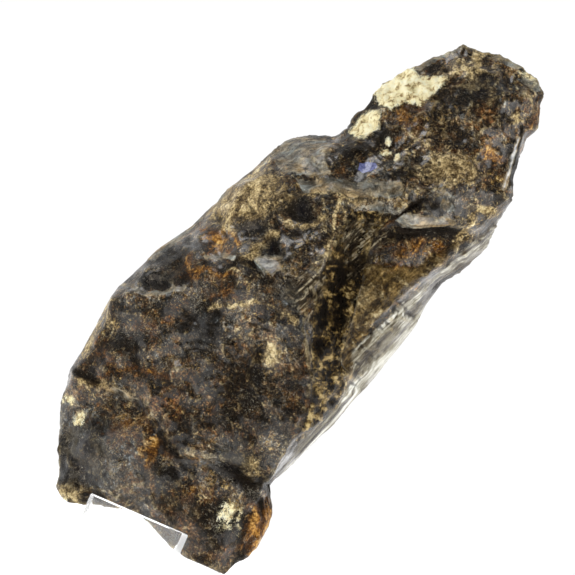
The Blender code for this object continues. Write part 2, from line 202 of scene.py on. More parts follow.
FRONT_CORNERS = [
    (-27, 9, -11), (-20, 14, -11), (-24, 6, -16.5), (-35, 5, -9), (-14, 12, -18), (-5, 12, -21.5),
    (3, 13, -23.5), (-8, 18, -18), (3.5, 19, -21), (-15, 19, -12), (-45.5, -9, -10),
    (-50, -16, -9), (-40, -10, -15), (-25, -12, -20.5), (-8, -20, -25.5), (-30, -28, -20.5),
    (-8, -38, -25.5), (2, 32, -9), (10, 34, -10), (17, 36, -9), (22, 40, -7), (30, 33, -14),
    (40, 25, -17), (48, 33, -12), (50, 24, -11), (33, 43, -9), (45, 45, -9), (55, 47, -7),
    (28, 49, -2), (37, 52, -3), (44, 56, -3), (52, 54, -3), (60, 47, -4), (30, 8, -11.5),
    (24, -1, -12.5), (25, 8, -12), (-38, -36, -16.5), (-52, -42, -9.5), (-51, -50, -9),
    (-36, -50, -17), (-26, -50, -20), (-30, -58, -17.5), (-18, -52, -21), (-20, -60, -20.5),
    (-17, -67, -18.5), (-7, -63, -12.5), (-6, -56, -13.5), (18, -20, -3), (10, -32, -10),
    (29, -8, -1), (38, 4, -2), (45, 8, -2), (0, -42, -16), (23, -13, -5)]
BACK_EDGES = [
    [(-44, -38, 14), (-30, -24, 21), (-8, -6, 25), (14, 14, 26), (32, 34, 23), (44, 48, 17)],
    [(-8, -6, 25), (-4, -22, 24), (0, -34, 20)],
    [(14, 14, 26), (4, 24, 18), (3, 33, 10)]]
BACK_CORNERS = [
    (-48, -20, 8), (-36, -4, 10), (-24, 8, 11), (-12, 18, 13), (-16, 4, 19), (24, 42, 12),
    (34, 50, 11), (54, 50, 10), (56, 42, 11), (50, 30, 15), (46, 16, 16), (36, 8, 19),
    (26, -6, 20), (14, -20, 20), (-50, -48, 7), (-36, -49, 17), (-18, -67.8, 14),
    (-27.2, -64.5, 14), (-31, -61, 14), (-34, -56.5, 14), (-12, -65.5, 12), (-9, -56, 17),
    (-16, -44, 23), (-24, -55, 21), (-46, -51, 9)]

GRID_STEP = 0.25
GRID_X = np.arange(-62.0, 68.0, GRID_STEP)
GRID_Z = np.arange(-76.0, 66.0, GRID_STEP)
PLAN_X, PLAN_Z = np.meshgrid(GRID_X, GRID_Z)


def smooth(value):
    """Smooth rise from 0 to 1 as the value goes from 0 to 1."""
    value = np.clip(value, 0.0, 1.0)
    return value * value * (3.0 - 2.0 * value)


def facet_depths(edges, corners):
    """Depth over the plan of flat triangles between the outline, the edges and the corners."""
    places = list(OUTLINE)
    joins = [(i, (i + 1) % len(OUTLINE)) for i in range(len(OUTLINE))]
    for edge in edges:
        joins += [(len(places) + i, len(places) + i + 1) for i in range(len(edge) - 1)]
        places += edge
    places += corners
    plan = [Vector(place[:2]) for place in places]
    verts, _, faces, sources, _, _ = delaunay_2d_cdt(plan, joins, [], 0, 1e-4)
    depths = [np.mean([places[i][2] for i in source]) for source in sources]
    result = np.zeros(PLAN_X.shape)
    for a, b, c in faces:
        across, along = verts[b] - verts[a], verts[c] - verts[a]
        area = across.cross(along)
        if abs(area) < 1e-6:
            continue
        low = [min(verts[i][axis] for i in (a, b, c)) for axis in (0, 1)]
        high = [max(verts[i][axis] for i in (a, b, c)) for axis in (0, 1)]
        columns = slice(*np.searchsorted(GRID_X, (low[0] - GRID_STEP, high[0] + GRID_STEP)))
        rows = slice(*np.searchsorted(GRID_Z, (low[1] - GRID_STEP, high[1] + GRID_STEP)))
        x, z = PLAN_X[rows, columns] - verts[a].x, PLAN_Z[rows, columns] - verts[a].y
        u = (x * along.y - z * along.x) / area
        v = (z * across.x - x * across.y) / area
        within = (u >= -1e-6) & (v >= -1e-6) & (u + v <= 1.0 + 1e-6)
        face = depths[a] + u * (depths[b] - depths[a]) + v * (depths[c] - depths[a])
        result[rows, columns][within] = face[within]
    return result


def inside(x, z, corners):
    """True where places lie inside a closed line, by counting the sides crossed."""
    result = np.zeros(np.shape(x), bool)
    for start, end in zip(corners, corners[1:] + corners[:1]):
        if start[1] != end[1]:
            crossed = (start[1] > z) != (end[1] > z)
            at = start[0] + (end[0] - start[0]) * (z - start[1]) / (end[1] - start[1])
            result ^= crossed & (x < at)
    return result


def look_up(grid, x, z):
    """Value of a plan grid at any places, straight between its points."""
    column = np.clip((x - GRID_X[0]) / GRID_STEP, 0, len(GRID_X) - 1.001)
    row = np.clip((z - GRID_Z[0]) / GRID_STEP, 0, len(GRID_Z) - 1.001)
    i, j = column.astype(int), row.astype(int)
    s, t = column - i, row - j
    low = grid[j, i] * (1 - s) + grid[j, i + 1] * s
    high = grid[j + 1, i] * (1 - s) + grid[j + 1, i + 1] * s
    return low * (1 - t) + high * t


def noise(points, size, seed):
    """Smooth random field from -1 to 1: cubic blend of random values at cell corners."""
    table = np.random.default_rng(seed).uniform(-1.0, 1.0, (32, 32, 32))
    cell = np.floor(points / size).astype(int)
    part = smooth(points / size - cell)
    total = np.zeros(len(points))
    for corner in product((0, 1), repeat=3):
        weight = np.prod(np.where(corner, part, 1.0 - part), axis=1)
        i, j, k = ((cell + corner) % 32).T
        total += weight * table[i, j, k]
    return total


def scoops(points, size, seed):
    """Shallow hollows side by side with sharp ridges between them, as broken glass has."""
    random = np.random.default_rng(seed)
    shift = random.uniform(-0.45, 0.45, (32, 32, 32, 3))
    tilt = random.uniform(-0.5, 0.5, (32, 32, 32, 3))
    cell = np.floor(points / size).astype(int)
    hollow = np.full(len(points), np.inf)
    for neighbour in product((-1, 0, 1), repeat=3):
        i, j, k = ((cell + neighbour) % 32).T
        away = points / size - (cell + neighbour + 0.5 + shift[i, j, k])
        hollow = np.minimum(hollow, (away * (away + tilt[i, j, k])).sum(axis=1))
    return hollow


def off_line(x, z, line):
    """Distance off a bent line, positive to its right going along it, and the place along it."""
    best = np.full(x.shape, np.inf)
    off, along = np.zeros(x.shape), np.zeros(x.shape)
    for i, (start, end) in enumerate(zip(line[:-1], line[1:])):
        run = Vector(end[:2]) - Vector(start[:2])
        length = run.length
        run = run / length
        t = np.clip((x - start[0]) * run.x + (z - start[1]) * run.y, 0.0, length)
        dx, dz = x - start[0] - t * run.x, z - start[1] - t * run.y
        distance = np.hypot(dx, dz)
        nearer = distance < best
        best = np.where(nearer, distance, best)
        side = np.where(dx * run.y - dz * run.x >= 0.0, distance, -distance)
        off = np.where(nearer, side, off)
        along = np.where(nearer, (i + t / length) / (len(line) - 1), along)
    return off, along


def spot(x, z, place):
    """1 at the middle of an oval spot, a half on its edge and 0 at twice its size."""
    cx, cz, half_width, half_height, turn = place
    c, s = cos(radians(turn)), sin(radians(turn))
    u = ((x - cx) * c + (z - cz) * s) / half_width
    v = ((z - cz) * c - (x - cx) * s) / half_height
    return np.clip(1.0 - np.hypot(u, v) / 2.0, 0.0, 1.0)


def plan_noise(size, seed):
    """The random field over the plan."""
    plan_points = np.stack((PLAN_X.ravel(), np.zeros(PLAN_X.size), PLAN_Z.ravel()), axis=1)
    return noise(plan_points, size, seed).reshape(PLAN_X.shape)


def plan_wander(seed):
    """Coarse, middle and fine noise over the plan, less than two millimetres in all."""
    return plan_noise(5.5, seed) + 0.5 * plan_noise(2.2, seed + 1) + 0.25 * plan_noise(1.0, seed + 2)


# The plan pushed about, less near the outline, which makes straight edges and ovals ragged
PUSH_MARGIN = 4.0
PUSH = smooth(np.abs(off_line(PLAN_X, PLAN_Z, OUTLINE + OUTLINE[:1])[0]) / PUSH_MARGIN)
WARPED_X = PLAN_X + PUSH * plan_wander(21)
WARPED_Z = PLAN_Z + PUSH * plan_wander(24)

# Hollows and swellings of the front, each (x, z, half width, half height, turn), depth
FRONT_DENTS = [
    ((3.9, 19.2, 2.8, 2.8, 20), 0.3), ((-9.4, 15.8, 2.4, 1.5, 30), 0.5),
    ((-31.0, 8.0, 3.0, 1.5, 20), 0.6), ((-32.5, 2.6, 3.8, 1.2, 5), 0.7),
    ((-26.0, 2.4, 1.4, 1.2, 0), 0.5), ((-48.6, -22.6, 1.6, 0.6, -25), 1.6),
    ((-3.0, 9.0, 1.6, 2.4, 15), 0.5), ((-12.0, 6.2, 1.6, 0.9, 10), 0.4),
    ((23.4, 39.8, 0.9, 0.9, 0), 1.2), ((2.0, 14.0, 2.4, 1.2, 0), 0.5),
    ((-41.0, -12.0, 3.0, 1.2, 20), 0.6), ((-28.0, -45.5, 1.4, 1.8, 20), 0.7),
    ((-24.0, -8.0, 2.2, 1.0, 60), 0.5), ((38.0, 47.5, 2.2, 1.6, 0), 0.6),
    ((27.0, 28.0, 2.0, 0.8, 15), 0.7), ((-10.0, -47.4, 3.0, 1.0, -20), 1.2),
    ((-23.0, -48.5, 3.0, 1.6, 10), 0.6), ((53.0, 16.5, 1.2, 0.8, 30), 0.8)]
FRONT_LUMPS = [
    ((15.4, 34.0, 2.0, 1.3, 0), 0.6), ((-54.6, -50.8, 3.0, 2.4, 20), 1.6),
    ((-34.0, -39.0, 3.0, 4.0, -20), 0.9), ((28.0, 50.0, 6.0, 3.0, 15), 1.0),
    ((21.5, 43.0, 2.0, 2.2, 0), 0.9), ((5.0, 36.0, 5.0, 3.0, 0), 1.0),
    ((-20.0, 9.0, 3.0, 2.0, 10), 0.8), ((-37.5, -6.5, 3.0, 2.0, 20), 0.7)]
# Cracks of the front: points, width, depth
FRONT_CRACKS = [
    ([(-15.5, 4.5), (-12.5, 6.6), (-9.5, 5.8), (-3.5, 2.5), (-1.0, 4.5)], 0.4, 0.8),
    ([(27.6, 17.6), (28.5, 18.8), (31.0, 20.3), (34.5, 21.4)], 0.4, 1.2),
    ([(30.0, 34.4), (33.0, 36.0), (38.0, 38.2)], 0.4, 0.6),
    ([(15.0, -17.5), (19.0, -15.6), (23.0, -11.5), (29.0, -6.5), (36.0, 0.5)], 0.35, 0.9),
    ([(-10.0, -49.5), (-6.6, -54.0), (-6.0, -58.0), (-9.5, -64.0), (-13.0, -68.5)], 0.4, 1.2),
    ([(-13.0, -62.0), (-15.5, -66.0), (-17.0, -70.0)], 0.4, 0.7),
    ([(-54.0, -20.0), (-50.0, -22.0), (-47.3, -23.3)], 0.4, 0.8)]

# Chalky crust: spots as (x, z, half width, half height, turn), strength, and facets by corners
CREAM_SPOTS = [
    ((60.8, 52.4, 2.4, 1.2, -40), 0.55), ((-14.9, -56.6, 1.5, 2.6, -8), 0.7),
    ((-11.9, -58, 0.5, 3.0, -10), 0.5), ((-51.3, -32.4, 1.1, 1.6, -30), 0.8),
    ((-54.6, -28.4, 1.4, 0.9, -30), 0.8),
    ((-55.4, -52.6, 0.5, 0.5, 0), 0.8), ((-52.0, -54, 0.5, 0.4, 0), 0.8)]
CREAM_FACETS = [
    ([(21.4, 48.5), (22.5, 51), (24.8, 54.5), (31.5, 55.5), (33, 52.8), (39.6, 52.6), (39.4, 51),
      (36.4, 48.6), (33.4, 45.6), (29.4, 46.6), (25.6, 44.2), (22.9, 45.6)], 1.0),
    ([(24.2, 36.6), (24.9, 37.2), (25.8, 36.2), (24.8, 35.6)], 1.2),
    ([(23.4, 33.8), (24.4, 34.4), (25.4, 33.5), (24.4, 33.0)], 1.2),
    ([(26.6, 32.9), (27.2, 33.0), (27.4, 31.8), (26.8, 31.9)], 1.2),
    ([(15.2, 38.4), (17, 40.6), (18.5, 43), (21, 44), (23, 43.5), (22.6, 40.5), (20.5, 38.4),
      (18, 37.4)], 1.0)]

# Glassy places, smooth in form as well: (x, z, half width, half height, turn), strength
GLASS_SPOTS = [
    ((-51, -41, 6.5, 8, 0), 1.0), ((-14, -42.6, 5, 3, -10), 0.9), ((-33, 2.6, 4, 1.4, 0), 0.8),
    ((4, 19, 3, 3, 20), 0.8), ((-9, 15.6, 3, 2, 20), 0.9), ((48, 50, 5, 3, 20), 0.8),
    ((2, -2, 6, 5, 0), 0.7), ((-20, -8, 6, 5, 20), 0.5), ((38, 21, 6, 4, 0), 0.6),
    ((5, 34, 6, 4, 0), 0.5), ((-30, 8, 5, 4, 20), 0.6), ((14, 26, 8, 3, 0), 0.6),
    ((-38, -48, 6, 6, 0), 0.5), ((8, -22, 1, 1, 0), 0.1), ((-4, 10, 4, 4, 0), 0.7),
    ((30, 30, 6, 3, 0), 0.5), ((-2, -30, 5, 7, 0), 0.4)]


def facet(x, z, corners, soft=0.5):
    """1 inside a facet, falling to 0 over a soft edge of some width in millimetres."""
    distance = np.abs(off_line(x, z, corners + corners[:1])[0])
    return smooth(0.5 + np.where(inside(x, z, corners), distance, -distance) / soft)


def front_relief():
    """Depth that the dents, lumps and cracks take from the front over the plan."""
    relief = np.zeros(PLAN_X.shape)
    for place, depth in FRONT_DENTS:
        relief += depth * smooth(spot(WARPED_X, WARPED_Z, place) * 1.8 - 0.55)
    for place, depth in FRONT_LUMPS:
        relief -= depth * smooth(spot(WARPED_X, WARPED_Z, place) * 1.4 - 0.3)
    for corners, strength in CREAM_FACETS:
        crust = strength * facet(WARPED_X, WARPED_Z, corners, 1.0)
        relief -= crust * (0.7 + 1.2 * plan_noise(2.0, 31) + 0.8 * plan_noise(0.9, 32))
    for line, width, depth in FRONT_CRACKS:
        off, along = off_line(WARPED_X, WARPED_Z, line)
        relief += depth * np.exp(-(off / width) ** 2) * smooth(np.minimum(along, 1 - along) * 6)
    return relief


STREAKS_ALONG = Vector((0.72, 0.69))
STREAKS_BEND = -0.002
STREAKS_EDGE = [(58, 24), (46, 13), (33, 2), (20.5, -9.5), (14.3, -15), (14.6, -22), (11, -29),
                (3, -36), (-5, -47.5), (-20, -52)]


def streaked(x, z):
    """How far in millimetres a place lies into the streaked side right of the fold."""
    return -off_line(x, z, STREAKS_EDGE)[0]


def fibre_places(points):
    """Places by how far they lie along the fibres, shortened, off the fold, and deep."""
    x, y, z = points.T
    along = x * STREAKS_ALONG.x + z * STREAKS_ALONG.y
    across = x * STREAKS_ALONG.y - z * STREAKS_ALONG.x + along * along * STREAKS_BEND
    return np.stack((along / 24.0, across, 0.4 * y), axis=1)


def stone_points(directions):
    """Where rays that leave the spine come out of the stone, in its own frame."""
    front = look_up(facet_depths(FRONT_EDGES, FRONT_CORNERS), WARPED_X, WARPED_Z) + front_relief()
    back_depths = facet_depths(BACK_EDGES, BACK_CORNERS)
    within = inside(PLAN_X, PLAN_Z, OUTLINE).astype(float)
    low, high = (np.array(end) for end in SPINE)
    axis = (high - low) / np.linalg.norm(high - low)
    start = (low + high) / 2 + np.outer(directions @ axis, (high - low) / 2)

    def solid(distance):
        x, y, z = (start + directions * distance[:, None]).T
        deep = (y > look_up(front, x, z)) & (y < look_up(back_depths, x, z))
        return deep & (look_up(within, x, z) > 0.5)

    reach = np.zeros(len(directions))
    step = 1.0
    going = np.ones(len(directions), bool)
    for _ in range(int(RAY_REACH / step)):
        going &= solid(reach + step)
        reach[going] += step
    for _ in range(9):
        step /= 2
        further = solid(reach + step)
        reach[further] += step
    points = start + directions * reach[:, None]

    x, y, z = points.T
    streaks = smooth(streaked(x, z) / 2.5 + 0.3) * smooth((z + 50.0) / 3.0)
    stretched = fibre_places(points)
    spine_side = np.where(y < 8.0, (z - x - 14.0) / sqrt(2.0), 0.0)
    calm = smooth(1.4 - spine_side / 14.0)
    bent = points + np.stack([0.8 * noise(points, 3.5, seed) for seed in (14, 15, 16)], axis=1)
    glassy = np.max([strength * spot(x, z, place) for place, strength in GLASS_SPOTS], axis=0)
    plain = calm * (1 - streaks) * (1 - 0.8 * smooth(glassy * 1.5))
    rough = 0.35 * noise(points, 10.0, 3) + plain * 0.08 * noise(points, 0.9, 11)
    rough -= calm * (1 - 0.7 * streaks) * 1.6 * (scoops(bent, 11.0, 6) - 0.25)
    rough -= plain * (1.1 * (scoops(bent, 5.0, 7) - 0.25) + 0.5 * (scoops(bent, 2.3, 10) - 0.25))
    rough += streaks * (0.35 * noise(stretched, 2.4, 12) + 0.12 * noise(stretched, 1.1, 13))
    reach -= INSET + rough

    turn = np.array(STONE_TURN)
    standing = (start + directions * reach[:, None]) @ turn.T + np.array(STONE_PLACE)
    beside = smooth((REST_HALF + REST_MARGIN - np.abs(standing[:, 0])) / REST_MARGIN)
    beside *= smooth((REST_HIGH + REST_MARGIN - standing[:, 2]) / REST_MARGIN)
    short = np.maximum(REST_GAP + REST_FACE - standing @ REST_WAY, 0.0) * beside
    reach -= short / np.maximum(-(directions @ (REST_WAY @ turn)), LEAST_SLANT)

    turn_up = turn[2]
    floor_level = FOOT_CLEAR - STONE_PLACE.z
    falling = directions @ turn_up < -1e-3
    limit = (floor_level - start[falling] @ turn_up) / (directions[falling] @ turn_up)
    reach[falling] = np.minimum(reach[falling], limit)
    return start + directions * reach[:, None]


def stone_grid():
    """Ray directions on a grid of stations from end to end and steps around, denser in front."""
    low, high = (Vector(end) for end in SPINE)
    axis = (high - low).normalized()
    ahead = (Vector((0, -1, 0)) - axis * axis.dot(Vector((0, -1, 0)))).normalized()
    side = axis.cross(ahead)
    t = np.linspace(0.0, pi, STONE_STATIONS + 1)[1:-1]
    polar = (t + 0.2 * np.sin(2 * t))[:, None]
    s = np.linspace(-pi, pi, STONE_AROUND, endpoint=False)
    turn = (s - 0.45 * np.sin(s))[None, :]
    directions = (np.cos(polar) * np.ones_like(turn))[..., None] * np.array(axis)
    directions = directions + (np.sin(polar) * np.cos(turn))[..., None] * np.array(ahead)
    directions = directions + (np.sin(polar) * np.sin(turn))[..., None] * np.array(side)
    ends = np.array([axis, -axis])
    return np.concatenate((directions.reshape(-1, 3), ends))


def grid_faces(rows, columns):
    """Quads of a grid closed round its columns, with a fan on each end point."""
    i, j = np.meshgrid(np.arange(rows - 1), np.arange(columns), indexing="ij")
    k = (j + 1) % columns
    quads = np.stack((i * columns + j, (i + 1) * columns + j, (i + 1) * columns + k, i * columns + k), -1)
    ring = np.arange(columns)
    following = (ring + 1) % columns
    first, last = rows * columns, rows * columns + 1
    top = np.stack((np.full(columns, first), ring, following), -1)
    base = (rows - 1) * columns
    bottom = np.stack((np.full(columns, last), base + following, base + ring), -1)
    return quads.reshape(-1, 4), np.concatenate((top, bottom))


def bends(points, normals):
    """How far each grid point stands out of the middle of its neighbours, over their distance
    squared: above 0 on edges and below 0 in creases. The two end points are left at 0."""
    grid = points[:-2].reshape(STONE_STATIONS - 1, STONE_AROUND, 3)
    normals = normals[:-2].reshape(grid.shape)
    total = np.zeros(grid.shape[:2])
    for axis in (0, 1):
        before, after = np.roll(grid, 1, axis), np.roll(grid, -1, axis)
        if axis == 0:
            before[0], after[-1] = grid[0], grid[-1]
        apart = np.linalg.norm(after - before, axis=2) / 2
        total += ((grid - (before + after) / 2) * normals).sum(axis=2) / np.maximum(apart, 0.15) ** 2
    for _ in range(2):
        total = (2 * total + np.roll(total, 1, 1) + np.roll(total, -1, 1)) / 4
        total[1:-1] = (2 * total[1:-1] + total[2:] + total[:-2]) / 4
    return np.append(total.ravel(), (0.0, 0.0))


def build_mesh(name, points, quads, triangles):
    """A mesh from arrays of points in metres and faces."""
    mesh = bpy.data.meshes.new(name)
    mesh.vertices.add(len(points))
    mesh.vertices.foreach_set("co", points.ravel())
    mesh.loops.add(quads.size + triangles.size)
    mesh.loops.foreach_set("vertex_index", np.concatenate((quads.ravel(), triangles.ravel())))
    mesh.polygons.add(len(quads) + len(triangles))
    starts = np.concatenate((np.arange(len(quads)) * 4, quads.size + np.arange(len(triangles)) * 3))
    mesh.polygons.foreach_set("loop_start", starts)
    mesh.update(calc_edges=True)
    mesh.validate()
    return mesh


directions = stone_grid()
own_points = stone_points(directions)
row_points = own_points @ np.array(STONE_TURN).T + np.array(STONE_PLACE)
quads, triangles = grid_faces(STONE_STATIONS - 1, STONE_AROUND)
stone_mesh = build_mesh("stone", row_points * MM, quads, triangles)
stone_mesh.shade_smooth()
place_layer = stone_mesh.attributes.new("own_place", "FLOAT_VECTOR", "POINT")
place_layer.data.foreach_set("vector", own_points.ravel())
row_normals = np.empty(3 * len(own_points), np.float32)
stone_mesh.vertex_normals.foreach_get("vector", row_normals)
own_normals = row_normals.reshape(-1, 3) @ np.array(STONE_TURN)
bend = np.clip(bends(own_points, own_normals), -2.0, 2.0)
stone_mesh.attributes.new("bend", "FLOAT", "POINT").data.foreach_set("value", bend)
stone = bpy.data.objects.new("stone", stone_mesh)
bpy.context.scene.collection.objects.link(stone)
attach(stone, "root")
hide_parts("opal_stone")

# Stains and weathered spots of the front, with painted shadows and painted highlights among them, each (x, z,
# half width, half height, turn), strength
GOLD_SPOTS = [
    ((-10.5, 22, 8, 5, 35), 1.3), ((-5, 25.6, 5, 1.6, -15), 0.9), ((-9, 7.6, 3, 1.2, 15), 1.0),
    ((-6, 11.5, 1.6, 3, -30), 0.7), ((12.5, 13, 1.4, 5, -25), 0.5), ((9, 7, 1.5, 3, -20), 0.4),
    ((48, 57, 1.4, 3.4, -10), 1.0), ((45.6, 50, 1.2, 1.0, 0), 1.0), ((51, 54.4, 5, 2.2, -20), 0.5),
    ((57.5, 42, 1.8, 1.4, 0), 0.9),
    ((46, 19.5, 2, 2, 30), 0.7), ((44, 16, 2, 4, 40), 0.6), ((-45.6, -6, 1.4, 3.0, 25), 0.9),
    ((-50, -14, 1.6, 4, 25), 0.5), ((-4.5, -16.5, 2.2, 3, -10), 0.8), ((-8.5, -43.6, 2, 3, 20), 0.8),
    ((10.5, -26, 3.4, 8, 0), 0.85), ((9, -16, 2, 5, 0), 0.7), ((20, -4, 3.4, 5, 20), 0.8),
    ((26, 24, 8, 3, 0), 0.45), ((17, 21.4, 3, 2.4, 20), 0.8), ((-54, -51, 3, 2.4, 0), 0.9),
    ((-14, -4.6, 5, 1.2, 0), 0.5), ((-2, -6, 5, 1, -15), 0.35), ((-48, -24, 4, 2, -20), 0.5),
    ((40, 29, 7, 3, -5), 1.0), ((34, 37, 12, 6, 20), 0.35), ((40, 54, 10, 4, 20), 0.45),
    ((-34, -33, 8, 3, -20), 0.4),
    ((-28, -49, 8, 3, -10), 0.2), ((-8.5, -60, 2.2, 4.4, -25), 0.8), ((8, 25, 10, 2, 0), 0.5),
    ((0, 20, 12, 6, 10), 0.4), ((40, 8, 6, 5, 30), 0.3), ((-24, -62, 6, 3, -35), 0.2)]
RUST_SPOTS = [
    ((-17.5, 12.5, 3, 3.2, 0), 1.0), ((-24.5, 6.2, 2, 1.8, 0), 0.9), ((-22.5, 2, 3, 1.6, 0), 0.7),
    ((-38, -34, 8, 5, -15), 0.6), ((-33, -40, 4, 5, -15), 0.8), ((-30, -27, 5, 3, 0), 0.5),
    ((-16, -23, 4, 3, 0), 0.45), ((30, 9.5, 5, 3, -20), 0.85), ((38, 9.5, 2.4, 2, 0), 0.9),
    ((27, 5, 4, 4, 0), 0.6), ((-7.6, -60.5, 3.0, 5.5, -25), 1.5), ((51, 33.5, 2.8, 1.6, -20), 1.1),
    ((43, 31, 8, 4, 0), 0.3), ((29.5, 42.4, 4, 3.2, 10), 0.7), ((-15, -1, 5, 2.4, 0), 0.55),
    ((22, -17.2, 2.6, 1.2, 20), 0.9), ((5.5, -5.8, 2, 1.4, -20), 1.0), ((27, 36.4, 3, 1.6, 20), 0.7),
    ((-13.5, 25, 3, 1.4, 20), 0.6), ((-24, -51, 5, 3, 0), 0.6), ((-22, -62, 8, 4, -35), 0.5),
    ((-36, -10, 5, 3, 20), 0.5),
    ((-44, -18, 4, 4, 0), 0.5), ((22, 17, 4, 1, 0), 0.6), ((4, -28, 4, 6, 10), 0.45),
    ((-12, -34, 6, 4, 0), 0.35), ((60, 44, 2, 4, 0), 0.35)]
# Among the pale spots are painted highlights: small glints and thin light lines
PALE_AND_HIGHLIGHT_SPOTS = [
    ((-4.6, 6, 3, 2.3, 20), 1.0), ((-2, 10.5, 0.8, 2.6, 25), 0.6), ((8, 33.6, 2.4, 4, 0), 0.8),
    ((30.4, 17, 3, 1.4, 10), 0.5), ((37, 16.4, 5, 1.4, -5), 0.75), ((-33, -1, 7, 0.6, 3), 0.8),
    ((-40, -26.4, 7, 1.8, -10), 0.6), ((-19, -37, 4, 2, -30), 0.45), ((-54, -28.6, 2.4, 1.4, -30), 0.8),
    ((-51.3, -32, 2, 2.4, -30), 0.8), ((1, -3, 4, 2.4, 20), 0.6), ((-17, 8.4, 2, 0.6, 0), 1.0),
    ((-29, 11, 2.6, 0.8, 30), 0.8), ((40, 23, 4, 1.8, -30), 0.6), ((-22, 18, 12, 1.2, 42), 0.7),
    ((-8, 31.5, 6, 1.2, 42), 0.7), ((5, 27.5, 12, 2, 0), 0.45), ((22, 20.6, 8, 1.4, 0), 0.55),
    ((45, 41, 5, 2, 20), 0.4), ((-43, -47, 5, 1.2, -50), 0.55), ((-14, -43, 4, 2, -15), 0.5),
    ((24, 24, 9, 2, -5), 0.5), ((-36, -42, 3, 1, -40), 0.4), ((-53, -46, 3, 3, 0), 0.2),
    ((10, 38, 8, 1, 0), 0.6), ((38, 53.6, 4, 2, 20), 0.55), ((44, 44, 3, 2, 20), 0.5),
    ((36, 33, 3, 1, 20), 0.5), ((-26, -60, 5, 2, -35), 0.2)]
# Among the dark spots is painted shade: the shadow under the shelf lip and the dark of the cleft
DARK_AND_SHADOW_SPOTS = [
    ((3.9, 19.2, 2.7, 2.7, 20), 1.0), ((-9.4, 15.8, 2.6, 1.7, 30), 0.9), ((-31, 8, 3, 1.6, 20), 0.8),
    ((-33.5, 2.4, 4, 1.2, 0), 0.8), ((-25.5, 2.5, 1.4, 1.4, 0), 0.8), ((-41, -12.4, 3.4, 1.8, 20), 0.8),
    ((-24, -7, 3.2, 2, 60), 0.5), ((12.5, 2, 2.8, 6, -20), 1.0), ((16, 11, 2.4, 4.5, -30), 1.0),
    ((12, -8, 2.6, 5, 0), 0.9), ((18.5, 15.5, 2.4, 2, -20), 0.9), ((-30, -46, 2, 2, 0), 0.7),
    ((-10, -47.6, 5, 1.2, -20), 1.0), ((9.5, -15, 2, 5, 0), 0.5),
    ((8, -31, 1.4, 6, 20), 0.6), ((23.5, 37.6, 3.4, 1, 0), 0.7), ((23, 45.3, 3, 0.6, 0), 0.8),
    ((37.6, 55, 2.6, 1.2, 0), 0.6), ((35, 13.4, 6, 0.9, -3), 0.9),
    ((24, 3.6, 3.4, 1.6, 10), 0.5), ((15.4, 34, 1.9, 1.1, 0), 0.9), ((-2.6, 9, 1.2, 2.2, 15), 0.9),
    ((58, 25, 1, 10, 10), 0.9), ((2, 14, 2.6, 1.2, 0), 0.7), ((24, 34.6, 4, 1.2, 0), 0.5),
    ((48, 48, 4, 2.6, 0), 0.25), ((-16, -60, 5, 4, 0), 0.6), ((-12, -27, 6, 5, 20), 0.35),
    ((2, -36, 3, 4, 0), 0.4), ((26, 13, 3, 2, 0), 0.5), ((-20, -12, 5, 3, 30), 0.3)]
BLUE_FACETS = [
    ([(17, 29.6), (18, 30.9), (20, 31.4), (21.8, 30.6), (22.1, 29.6), (20.6, 28.8), (18.4, 28.7)], 1.0)]
# Veins, rims and shadows of the front, the shadows painted shade and the pale rim along the upper left
# outline a painted sheen: points, half width, strength
GOLD_BANDS = [
    ([(-20, -5.2), (-14, -4.6), (-8, -3.6), (-2, -6), (3, -8)], 0.6, 0.75),
    ([(-44, -3), (-47, -9), (-51, -17)], 0.8, 0.7), ([(15, 24), (12, 20), (10.5, 14), (9, 8)], 0.5, 0.8),
    ([(-8.5, 8.5), (-6, 12), (-3, 14)], 1.0, 1.0), ([(17, 21), (24, 22), (30, 20)], 1.0, 0.6),
    ([(52, 19), (47, 20), (44, 16), (42, 10)], 1.0, 0.8), ([(-52, -22.4), (-45, -24)], 0.9, 0.8),
    ([(-37, -56), (-30, -61), (-22, -68)], 0.8, 0.3), ([(10, -14), (9.5, -24), (8.5, -33)], 2.4, 0.9),
    ([(-14, 20), (-8, 25), (-2, 26.5)], 1.6, 0.8), ([(0, 22.6), (8, 23.6), (14, 22.5)], 0.9, 0.8),
    ([(-1, 16), (5, 15.5), (9, 17)], 0.8, 0.8), ([(42, 58), (46, 52), (51, 48)], 1.2, 0.7)]
RUST_BANDS = [
    ([(20, 17), (24, 16.6), (28, 16)], 0.9, 0.8), ([(-26, 3), (-20, 4.5), (-15, 3)], 1.5, 0.8),
    ([(-21, 14), (-14, 14), (-12, 11)], 1.2, 0.7), ([(57, 20), (59, 28), (60.5, 38), (63, 45)], 1.0, 0.6),
    ([(-46, -22), (-38, -20), (-30, -22)], 1.6, 0.6)]
# The bands along the upper left outline are a painted sheen, the rest pale stone
PALE_AND_SHEEN_BANDS = [
    ([(-42, 1), (-36, -0.8), (-30, -0.3), (-25.5, 0.3)], 0.5, 1.0),
    ([(-34, 8), (-25, 15), (-18.5, 21), (-12, 27)], 1.5, 0.9),
    ([(-9, 30), (-3, 35.5), (4, 38)], 1.4, 0.9), ([(-47, -24.5), (-40, -26.5), (-34.5, -29.5)], 1.8, 0.6),
    ([(-34.5, -29.5), (-31, -37), (-27, -41), (-20, -43.5), (-14, -45)], 0.7, 0.45),
    ([(28, 15.8), (34, 15.8), (40, 15.8)], 1.1, 0.9), ([(-49, -33), (-45, -41), (-42, -50)], 0.6, 0.4),
    ([(-2, 8), (-1.5, 12), (0.5, 14)], 0.5, 0.7), ([(17, 20), (24, 19.8), (28, 18.6)], 0.8, 0.7),
    ([(-20, 8), (-16, 8.6), (-13, 7.4)], 0.5, 0.9)]
